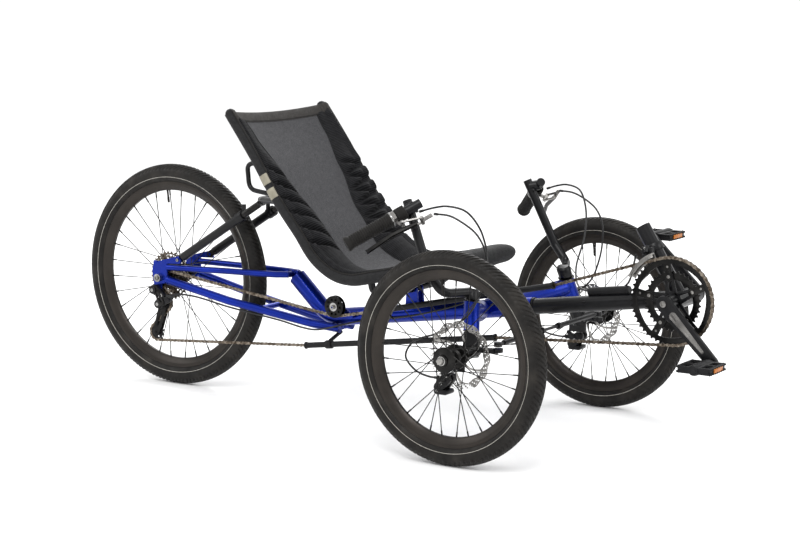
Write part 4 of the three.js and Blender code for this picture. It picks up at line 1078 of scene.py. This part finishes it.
def make_seat_cover():
    ends = LINE.length - 16
    panel = [[(a, b, 0.0) for b in spread_out(-SLING_EDGE + 2, SLING_EDGE - 2, 61)]
             for a in spread_out(2, ends, 150)]
    middle_panel = cloth("seat_sling", CLOTH, panel, 2.4)
    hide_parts("seat_cover")
    for word, side in SIDES:
        edge = [[(a, side * b, 0.5) for b in spread_out(SLING_EDGE - 8, SLING_EDGE + 66, 29)]
                for a in spread_out(1, ends, 150)]
        cloth("seat_side_wrap_" + word, TRIM, edge, 1.6)
        make_wing(word, side)
        make_wing_seams(word, side)
        for k, (low, high) in enumerate(((186, 213), (226, 253)), 1):
            patch = [[(a, side * b, 1.3) for b in spread_out(SLING_EDGE + 12, SLING_EDGE + 58, 14)]
                     for a in spread_out(low, high, 8)]
            cloth(f"seat_patch_{word}_{k}", PATCH, patch, 0.9)
    hem = [[(a, b, 0.9 + 2.0 * math.sin(math.pi * (a - 1) / 30) ** 0.5 if 1 < a < 31 else 0.9)
            for b in spread_out(-SLING_EDGE - 10, SLING_EDGE + 10, 61)] for a in spread_out(1, 31, 12)]
    cloth("seat_top_hem", HEM, hem, 5.2)
    seams = Shape()
    for along in (28, LINE.length - 128):
        seams.tube([sling_front(along, b, 2.2) for b in spread_out(-176, 176, 60)], 0.7, 6)
    for offset in (-26, 26):
        seams.tube([sling_front(a, offset, 0.6) for a in spread_out(LINE.length - 128, LINE.length - 24, 30)],
                   0.8, 6)
    piece("seat_seams", seams, TRIM, "seat")
    make_nose()


def make_nose():
    """The front pad: a bolster round the cross tube, rounded in plan, thinning back over the pan."""
    tip, way, up = LINE.here(LINE.length)
    section = ((-120, 1), (-84, 11), (-46, 20), (-14, 25), (10, 23), (23, 13), (27, 0), (23, -13), (8, -23.5),
               (-12, -25), (-40, -21), (-78, -13), (-120, -5))
    outline = flowing([Vector((u, 0, w)) for u, w in section], 5)
    rows, lays = [], []
    wide = 209
    for across in [wide * math.sin(math.pi / 2 * t) for t in spread_out(-1, 1, 61)]:
        share = abs(across) / wide
        pull = math.sqrt(max(1 - share ** 7, 0.0016))
        row, lay = [], []
        for spot in outline:
            u = spot.x if spot.x < -60 else -60 + (spot.x + 60) * (0.72 + 0.28 * pull)
            w = spot.z * (0.3 + 0.7 * pull)
            w += sag(LINE.length - 60, across) * 0.8 * smoothstep(-20, -110, u)
            w += 0.9 * math.sin(across / 17) * smoothstep(-110, -30, u) * pull
            place = tip + way * u + up * w
            row.append(at(place.x, across, place.z))
            lay.append((across * MM, spot.x * MM, 0))
        rows.append(row)
        lays.append(lay)
    shape = Shape()
    shape.skin(rows, lay=lays)
    nose = piece("seat_nose_pad", shape, TRIM, "seat", sharp=60)


def make_seat_tubes():
    shape, caps = Shape(), Shape()
    for side in (-1, 1):
        shape.tube([LINE.at(a, side * RAIL_Y, 0) for a in spread_out(0, LINE.length, 120)], RAIL_R, 24)
        corners = ((-671, 643), (-706, 638), (-700, 575), (-628, 566))
        shape.tube(filleted([at(x, side * 194, z) for x, z in corners], 26), 6, 16)
        for y in (56.5, 74):
            shape.plate(at(0, side * (y + 1.75), 0), tapered(*BRACE, 8, *STRUT_TOP, 7.5), [], 3.5, 0.5)
        shape.bolt(at(STRUT_TOP[0], side * 78, STRUT_TOP[1]), Y * side, 6, 4)
    tip = RAIL[-1]
    shape.tube([at(tip[0], y, tip[1]) for y in (-RAIL_Y, RAIL_Y)], 9, 24)
    x, z = SEAT_PIVOT
    for half, radius, sides in ((((x, RAIL_Y, 381), (x, 192, 350), (x, 120, z)), 9, 20),
                                (((-606, RAIL_Y, 550), (-690, 150, 545), (BRACE[0], 100, BRACE[1])), 8, 20)):
        line = [at(a, -b, c) for a, b, c in half] + [at(*spot) for spot in half[::-1]]
        shape.tube(filleted(line, 40), radius, sides)
    piece("seat_tubes", shape, BLACK, "seat", ["seat_frame"])
    place, way, _ = LINE.here(0)
    for side in (-1, 1):
        caps.turned(at(place.x, side * RAIL_Y, place.z) + way * 0.003,
                    [(0.01, -11), (7, -10.4), (11, -7), (12.6, -2), (12.6, 4), (11.6, 9), (0.01, 9)], way, 24)
    piece("seat_rail_caps", caps, PLASTIC, "seat")


# ---------- handlebars ----------
def bar_point(side, t):
    return at(-132, side * 287, 585).lerp(at(-254, side * 414, 492), t)


def bar_way(side):
    return (bar_point(side, 1) - bar_point(side, 0)).normalized()


def make_bars(word, side):
    """The bent handlebar from its foot on the kingpin, with its grip, end plug and clamp band."""
    body = "steering_" + word
    head, kingpin = steering_line(side)
    shape = Shape()
    shape.turned(head, [(0.01, 38.7), (15.4, 38.7), (17.4, 40.3), (18, 60), (17, 62), (14, 66), (0.01, 67)],
                 kingpin, 32)
    shape.tube(filleted([at(-30, side * 232, 379), at(-62, side * 300, 381), at(-98, side * 304, 424),
                         at(-171, side * 284, 588)], 30, 10), 11, 28)
    shape.tube([bar_point(side, 0), bar_point(side, 1)], 11, 28)
    shape.tube([at(-166, side * 285, 572), at(-143, side * 299, 576)], 13, 24)
    shape.bolt(at(-150, side * 278, 566), Vector((0.6, -0.2 * side, -0.75)).normalized(), 3.4, 6)
    piece("handlebar_" + word + "_tubes", shape, BLACK, body, ["handlebar_" + word])
    grip_length = (bar_point(side, 1) - bar_point(side, 0.4)).length / MM
    along = bar_way(side)
    grip = Shape()
    profile = [(11.3, 0), (17.2, 0), (17.8, 1.5), (17.8, 5), (15.6, 6.5)]
    ribs = 17
    for k in range(ribs):
        t = 9 + (grip_length - 22) * k / ribs
        profile += [(15.2, t), (16.4, t + 1.0), (16.4, t + 3.0), (15.2, t + 4.0)]
    profile += [(15.6, grip_length - 12), (17.6, grip_length - 10), (17.9, grip_length - 4),
                (16.8, grip_length), (11.3, grip_length)]
    grip.turned(bar_point(side, 0.4), profile, along, 48)
    piece("grip_" + word + "_ribbed", grip, RUBBER, body, ["grip_" + word], sharp=50)
    plug = Shape()
    plug.turned(bar_point(side, 1), [(0.01, -2), (10.6, -2), (10.6, 0.4), (8, 1.8), (0.01, 2.2)], along, 28)
    piece("bar_plug_" + word, plug, PLASTIC, body)
    band = Shape()
    band.turned(bar_point(side, 0.39), collar(12.2, 16.9, 17.3, 2.4, 1.6), along, 40)
    piece("grip_band_" + word, band, SILVER, body)


def make_shifter(word, side):
    """A twist shifter: a knurled barrel round the bar."""
    node = "shifter_" + word
    along = bar_way(side)
    start, end = bar_point(side, 0.205), bar_point(side, 0.325)
    length = (end - start).length / MM
    level = Z.cross(along).normalized()
    up = along.cross(level)
    rings = []
    for share, r in ((0, 12.6), (0, 15.5), (0.04, 16.6), (0.96, 16.6), (1, 15.5), (1, 12.6)):
        ring = []
        for k, angle in enumerate(angles(120)):
            rib = 0.55 if r > 16 and k % 4 in (0, 1) else 0.0
            out = level * math.cos(angle) + up * math.sin(angle)
            ring.append(start + (out * (r + rib) + along * length * share) * MM)
        rings.append(ring)
    shape = Shape()
    shape.skin(rings, closed=True)
    piece(node + "_barrel", shape, RUBBER, node, [node], sharp=45)


def make_cross_arm(word, side):
    """The arm sweeps out and turns down into the head tube."""
    head, kingpin = steering_line(side)
    root_z = beam_height(-128)
    line = filleted([at(-128, side * 19, root_z + 1), at(-104, side * 70, root_z + 4),
                     head + kingpin * 0.010, head - kingpin * 0.033], 70, 14)
    widths = [23 - 4.4 * smoothstep(0.35, 0.8, k / (len(line) - 1)) for k in range(len(line))]
    shape = Shape()
    shape.tube(line, widths, 32)
    shape.turned(head, [(9.6, -36), (18.6, -36), (19.4, -34.6), (19, -32), (19, 32), (19.6, 34.6), (18.6, 36),
                        (9.6, 36)], kingpin, 40)
    piece("cross_arm_" + word + "_tube", shape, BLUE, "frame", ["cross_arm_" + word], sharp=60)
    rings = Shape()
    for t, turn in ((36.2, 1), (-36.2, -1)):
        rings.turned(head + kingpin * t * MM, [(9.6, -2 * turn), (20.4, -2 * turn), (20.6, -0.8 * turn),
                                               (19.4, 0), (9.6, 0)], kingpin, 40)
    piece("headset_" + word, rings, DARK_STEEL, "frame")


def make_caliper(word, side):
    """A cable-pulled disc brake: two halves over the disc, a pad knob, its arm and its bolts."""
    body = "steering_" + word
    node = "brake_caliper_" + word
    shape = Shape()
    for y, outline, thick, edge in (
        (314.5, tapered(-49, 170, 13, -31, 190, 12.5, 14), 15, 3),
        (335.5, tapered(-49, 170, 13, -31, 190, 12.5, 14), 12, 3),
        (326, tapered(-54, 160, 6, -30, 160, 6, 8), 34, 2),
        (308, tapered(-40, 181, 9, -58, 200, 5, 10), 4, 1.2),
    ):
        shape.plate(at(0, side * y, 0), outline, [], thick, edge)
    shape.turned(at(-40, side * 341, 181),
                 [(0.01, 0), (14, 0), (14, 1.5), (11, 3), (9, 3), (8.4, 2), (0.01, 2)], Y * side, 36)
    for angle in angles(8):
        a, b = polar(9.6, angle)
        shape.block(at(-40 + a, side * 342.4, 181 + b), (2.4, 2.4, 3), 0.4)
    shape.turned(at(-66, side * 314, 186), [(0.01, -2), (5.6, -2), (5.6, 3), (4.6, 4), (4.6, 14), (0.01, 14)],
                 Vector((1, 0, -0.1)).normalized(), 20)
    piece(node + "_body", shape, BLACK, body, [node], sharp=35)
    trim = Shape()
    for x, y, z, facing, radius, height in (
        (-40, 343, 181, 1, 4.2, 1.6), (-52, 341, 162, 1, 3.2, 3), (-26, 341, 198, 1, 3.2, 3),
        (-40, 307, 181, -1, 4, 2.5),
    ):
        trim.bolt(at(x, side * y, z), Y * side * facing, radius, height)
    piece(node + "_bolts", trim, SILVER, body)


# ---------- tubes, struts, bolts and derailleurs on the frame ----------
def make_trim():
    """Bolts on the frame's ends and pivots, and a nut on each front axle."""
    shape = Shape()
    for word, side in SIDES:
        shape.bolt(at(REAR_AXLE[0], side * 84, REAR_AXLE[1]), Y * side, 6.5, 4)
        shape.bolt(at(STRUT_FOOT[0], side * 74, STRUT_FOOT[1]), Y * side, 4.4, 3)
        shape.bolt(at(SEAT_PIVOT[0], side * 17, SEAT_PIVOT[1] + 12), Y * side, 3.4, 3)
        nut = Shape()
        nut.turned(at(0, side * 411, 247.5), [(0.01, 0), (9.5, 0), (9.5, 3), (7.5, 5.5), (0.01, 6)],
                   Y * side, 6)
        piece("front_axle_nut_" + word, nut, STEEL, "steering_" + word)
    piece("frame_bolts", shape, STEEL, "frame")


def make_frame_tubes():
    """The welded tubes, round along their whole length, with a weld ring near each end of a lower stay."""
    riser_top = at(-694.5, 0, 329)
    beam, boom, stays = Shape(), Shape(), Shape()
    beam.tube([beam_point(10.4)] + filleted([beam_point(-300), beam_point(-590), riser_top], 90, 12),
              22.7, 44)
    piece("main_tube_round", beam, BLUE, "frame", sharp=60)
    boom.tube([beam_point(-100), beam_point(386)], 19.2, 40)
    piece("boom_round", boom, BLACK, "frame", sharp=60)
    for side in (-1, 1):
        stays.tube(filleted([at(-1074, side * 70, 331), at(-900, side * 53, 334), at(-742, side * 35, 335),
                             at(-707, side * 22, 336)], 20, 6), 8.35, 24)
        stays.tube(filleted([at(-540, side * 28, 211), at(-620, side * 31, 216), at(-874, side * 58, 256),
                             at(-1078, side * 70, 297)], 160, 12), 11, 28)
        for place, r in ((at(-560, side * 26, 213), 12.5), (at(-1071, side * 69.4, 296), 12.2)):
            stays.turned(place, [(10.6, -3), (r, -1.6), (r + 0.5, 0), (r, 1.6), (10.6, 3)], X, 24)
    stays.tube([at(-784, -47, 242), at(-784, 47, 242)], 7.4, 24)
    along = (riser_top - beam_point(-590)).normalized()
    stays.block(riser_top + along * 0.003, (16, 30, 10), 2.5)
    stays.block(at(-704, 0, 335), (12, 26, 12), 3)
    piece("stays_round", stays, BLUE, "frame", sharp=60)


def make_struts():
    """Each seat strut: an outer tube with its clamp collar, and the inner tube that slides in it."""
    for word, side in SIDES:
        low, high = at(STRUT_FOOT[0], side * 66, STRUT_FOOT[1]), at(STRUT_TOP[0], side * 66, STRUT_TOP[1])
        along = (high - low).normalized()
        outer, inner = Shape(), Shape()
        outer.turned(low, [(9.3, 17), (11.2, 16.6), (11.5, 18), (11.5, 234), (14.2, 235), (14.6, 237),
                           (14.6, 255), (14.2, 257), (9.3, 257)], along, 36)
        outer.bolt(low + along * 0.246 - Y * side * 0.013, -Y * side, 3.4, 6)
        piece("strut_outer_" + word + "_tube", outer, BLACK, "strut_outer_" + word)
        inner.turned(low, [(0.01, 151), (8.8, 151), (8.8, 316), (7.4, 318), (0.01, 318)], along, 32)
        piece("strut_inner_" + word + "_tube", inner, DARK_STEEL, "strut_inner_" + word)


def make_boom_sleeve():
    """The cable's sleeve beside the boom, and a steel ring near each end of the boom."""
    shape, band = Shape(), Shape()
    shape.tube([at(156, 5, 363), at(160, 5, 364), at(262, -1, 378), at(266, -1, 378.5)],
               [9.5, 11, 11, 9.5], 28)
    piece("boom_cable_sleeve", shape, PLASTIC, "frame", sharp=50)
    slope = Vector((1, 0, BEAM_SLOPE)).normalized()
    for x, r in ((13, 21.2), (384, 20.4)):
        band.turned(beam_point(x), collar(19.1, r, r + 0.6, 3, 2), slope, 44)
    piece("boom_rings", band, DARK_STEEL, "frame")


def make_rear_derailleur():
    """Mounting knuckle, two parallel links, the cage's knuckle and the long guide cage."""
    shape, links, cage, pins = Shape(), Shape(), Shape(), Shape()
    gx, gz = GUIDE_PULLEY
    tx, tz = TENSION_PULLEY
    hx, hz = -1108, 270
    shape.turned(at(hx, 0, hz), [(0.01, -74), (12, -74), (12.6, -76), (12.6, -92), (10.5, -97), (0.01, -97)],
                 Y, 36)
    shape.plate(at(0, -86, 0), tapered(hx + 2, hz, 14, hx + 30, hz - 14, 8, 12), [], 14, 3)
    shape.turned(at(gx - 2, 0, gz),
                 [(0.01, -69.4), (12.4, -69.4), (13, -71), (13, -88), (11, -93), (0.01, -93)], Y, 36)
    shape.plate(at(0, -86, 0), tapered(gx + 4, gz + 6, 13, gx + 30, gz + 14, 9, 12), [], 12, 3)
    shape.turned(at(-1052, -89, 256), [(0.01, -9), (5.6, -9), (5.6, 2), (4.6, 4), (4.6, 10), (0.01, 10)],
                 Vector((-0.9, 0, 0.1)).normalized(), 20)
    piece("rear_derailleur_knuckles", shape, BLACK, "frame", ["rear_derailleur"], sharp=40)
    for y in (-80, -93):
        links.plate(at(0, y, 0), tapered(hx + 16, hz - 8, 10, gx + 12, gz + 6, 10, 12),
                    [tapered(hx + 15, hz - 10, 3.4, gx + 13, gz + 9, 3, 8)], 3.4, 1)
    piece("rear_derailleur_links", links, DARK_STEEL, "frame", sharp=40)
    for x, y, z in ((hx, -97, hz), (gx - 2, -93, gz), (hx + 28, -93, hz - 13)):
        pins.bolt(at(x, y, z), -Y, 4.6, 1.6)
    piece("rear_derailleur_bolts", pins, SILVER, "frame")
    way = math.atan2(tz - gz, tx - gx)
    reach = math.hypot(tx - gx, tz - gz)
    window = []
    for r, off in ((22, -4), (22, 4), (reach - 20, 3), (reach - 20, -3)):
        window.append((gx + math.cos(way) * r + math.cos(way + math.pi / 2) * off,
                       gz + math.sin(way) * r + math.sin(way + math.pi / 2) * off))
    for y, wide in ((COG_Y - 6.2, 1.0), (COG_Y + 6.2, 0.9)):
        cage.plate(at(0, y, 0), tapered(gx, gz, 14 * wide, tx, tz, 11.5, 14), [rounded_corners(window, 4)],
                   1.6, 0.4)
    for x, z in (GUIDE_PULLEY, TENSION_PULLEY):
        cage.turned(at(x, COG_Y, z), [(0.01, -7.6), (5, -7.6), (5, -6.4), (3.1, -6), (3.1, 6), (5, 6.4),
                                      (5, 7.6), (0.01, 7.6)], Y, 20)
    piece("derailleur_cage_plates", cage, DARK_STEEL, "derailleur_cage", ["derailleur_cage"],
          sharp=35)


def make_front_derailleur():
    """Curved cage plates over the large ring, on a link from the post's clamp."""
    x, z = CRANK

    def arc(r, first, last, count=14):
        return [(x + a, z + b) for a, b in (polar(r, angle) for angle in spread_out(first, last, count))]

    cage, arm, pin = Shape(), Shape(), Shape()
    for y, inner in ((-6.8, 109), (5.8, 104)):
        cage.plate(at(0, CHAINLINE_Y + y, 0), arc(119, 2.0, 2.7) + arc(inner, 2.7, 2.0), [], 1.6, 0.5)
    for first, last in ((2.0, 2.05), (2.65, 2.7)):
        cage.plate(at(0, CHAINLINE_Y - 0.5, 0), arc(119, first, last, 4) + arc(115.5, last, first, 4), [], 13,
                   0.4)
    piece("front_derailleur_cage", cage, STEEL, "frame", ["front_derailleur"], sharp=40)
    lean = Vector((-math.sin(POST_LEAN), 0, math.cos(POST_LEAN)))
    post = at(x, 0, z) + lean * 132 * MM
    arm.turned(post, collar(18.3, 21.6, 22.4, 9, 7.6), lean, 44)
    arm.block(post + Vector((0.0, -0.030, -0.002)), (26, 18, 22), 3)
    for lift, reach in ((-7, 6), (9, 2)):
        foot = post + Vector((reach * MM, -0.046, (lift - 14) * MM))
        arm.tube([post + Vector((0, -0.036, lift * MM)), foot], 4.6, 14)
    arm.block(post + Vector((0.008, -0.0465, -0.016)), (30, 14, 9), 2.4)
    piece("front_derailleur_link", arm, BLACK, "frame", sharp=40)
    pin.bolt(post + Vector((0.010, -0.051, -0.014)), -Y, 3.6, 2)
    pin.bolt(post + Vector((-0.004, -0.040, 0.004)), -Y, 3.2, 2)
    piece("front_derailleur_bolts", pin, SILVER, "frame")


EDGE_ANGLE = math.radians(52)            # flatter edges are shaded smooth


def finish_cad_nodes():
    """Gives the CAD nodes that are still shown their finish, and eases their edges."""
    looks = {
        "main_tube": BLUE, "top_stays": BLUE, "lower_stays": BLUE,
        "boom": BLACK, "bottom_bracket": DARK_STEEL, "rear_axle": SILVER, "tie_rod": BLACK, "knuckle": BLACK,
        "brake_lever_mount": STEEL, "brake_lever": DARK_STEEL,
        "strut_outer": BLACK, "strut_inner": BLACK,
    }
    for name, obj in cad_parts.items():
        match = max((key for key in looks if name.startswith(key)), key=len, default=None)
        if not match:
            continue
        obj.data.materials.clear()
        obj.data.materials.append(looks[match])
        obj.data.shade_smooth()
        obj.data.set_sharp_from_angle(angle=EDGE_ANGLE)
        edge = obj.modifiers.new("eased edges", "BEVEL")
        edge.width = 0.7 * MM
        edge.segments = 2
        edge.limit_method = "ANGLE"
        edge.angle_limit = EDGE_ANGLE


# ---------- studio ----------
CAMERA_AT = (2.6221, -3.9671, 1.0787)
CAMERA_TURN = 33.0456                    # degrees round from the front of the drive side
CAMERA_HEIGHT = 8.3775                   # degrees above the level
CAMERA_ROLL = 0.087
LENS = 85.56
FLOOR_REACH = 400


def make_camera():
    turn, rise, roll = (math.radians(a) for a in (CAMERA_TURN, CAMERA_HEIGHT, CAMERA_ROLL))
    back = Vector((math.sin(turn) * math.cos(rise), -math.cos(turn) * math.cos(rise), math.sin(rise)))
    right = Vector((math.cos(turn), math.sin(turn), 0))
    up = back.cross(right)
    data = bpy.data.cameras.new("camera")
    data.lens = LENS
    data.sensor_width = 36
    data.clip_end = 2000
    camera = placed("camera", data)
    leaned = right * math.cos(roll) + up * math.sin(roll)
    upright = up * math.cos(roll) - right * math.sin(roll)
    facing = Matrix((leaned, upright, back)).transposed().to_4x4()
    camera.matrix_world = Matrix.Translation(CAMERA_AT) @ facing
    bpy.context.scene.camera = camera


def make_sky():
    """A white sky, a little brighter overhead than at the level."""
    world = bpy.data.worlds.new("studio")
    world.use_nodes = True
    nodes, join = world.node_tree.nodes, world.node_tree.links.new
    sky = nodes["Background"]
    sky.inputs["Color"].default_value = (1, 1, 1, 1)
    height = nodes.new("ShaderNodeSeparateXYZ")
    join(nodes.new("ShaderNodeTexCoord").outputs["Generated"], height.inputs[0])
    overhead = nodes.new("ShaderNodeMapRange")
    for socket, value in (("From Min", 0.05), ("From Max", 0.8), ("To Min", 0.93), ("To Max", 1.2)):
        overhead.inputs[socket].default_value = value
    join(height.outputs["Z"], overhead.inputs["Value"])
    join(overhead.outputs["Result"], sky.inputs["Strength"])
    bpy.context.scene.world = world


def make_studio():
    make_camera()
    floor_data = bpy.data.meshes.new("floor")
    floor_data.from_pydata([(*polar(FLOOR_REACH, angle), 0) for angle in angles(48)], [], [tuple(range(48))])
    floor_data.materials.append(FLOOR)
    placed("floor", floor_data)
    bpy.context.scene.view_settings.view_transform = "Standard"
    make_sky()
    for name, place, size, power in (
        ("key", (1.5, -3.2, 4.2), 2.6, 120), ("fill", (-3.4, -2.4, 2.6), 2.2, 40),
        ("rim", (-1.5, 3.4, 3.6), 2.4, 80), ("front", (4.4, 0.8, 2.4), 2.0, 40),
    ):
        lamp = bpy.data.lights.new(name, "AREA")
        lamp.size = size
        lamp.energy = power
        holder = placed(name, lamp)
        holder.location = place
        holder.rotation_euler = (Vector((0, 0, 0.35)) - Vector(place)).to_track_quat("-Z", "Y").to_euler()


def build():
    make_studio()
    for word, side in SIDES:
        route = [(x, side * y, z) for x, y, z in BRAKE_CABLE]
        make_cable("brake_cable_" + word, route, "steering_" + word)
    rear = make_cable("rear_shift_cable", REAR_SHIFT_CABLE, None)
    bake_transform(rear)
    front = make_cable("front_shift_cable", FRONT_SHIFT_CABLE, None)
    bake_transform(front)
    for word, side in SIDES:
        for make in (make_front_wheel, make_pedal, make_bars, make_shifter, make_cross_arm, make_caliper):
            make(word, side)
    make_rear_wheel()
    make_cassette()
    make_crankset()
    make_chain()
    make_pulley("guide_pulley", GUIDE_PULLEY)
    make_pulley("tension_pulley", TENSION_PULLEY)
    make_idler()
    guide_tube("power_chain_tube", at(-423, CHAINLINE_Y, 269), at(91, CHAINLINE_Y, 381), False)
    guide_tube("return_chain_tube", at(-65, -52, 240), at(-629, -54, 162), True)
    make_seat_tubes()
    make_seat_cover()
    make_rear_derailleur()
    make_front_derailleur()
    make_boom_sleeve()
    make_frame_tubes()
    make_struts()
    make_trim()
    finish_cad_nodes()


build()
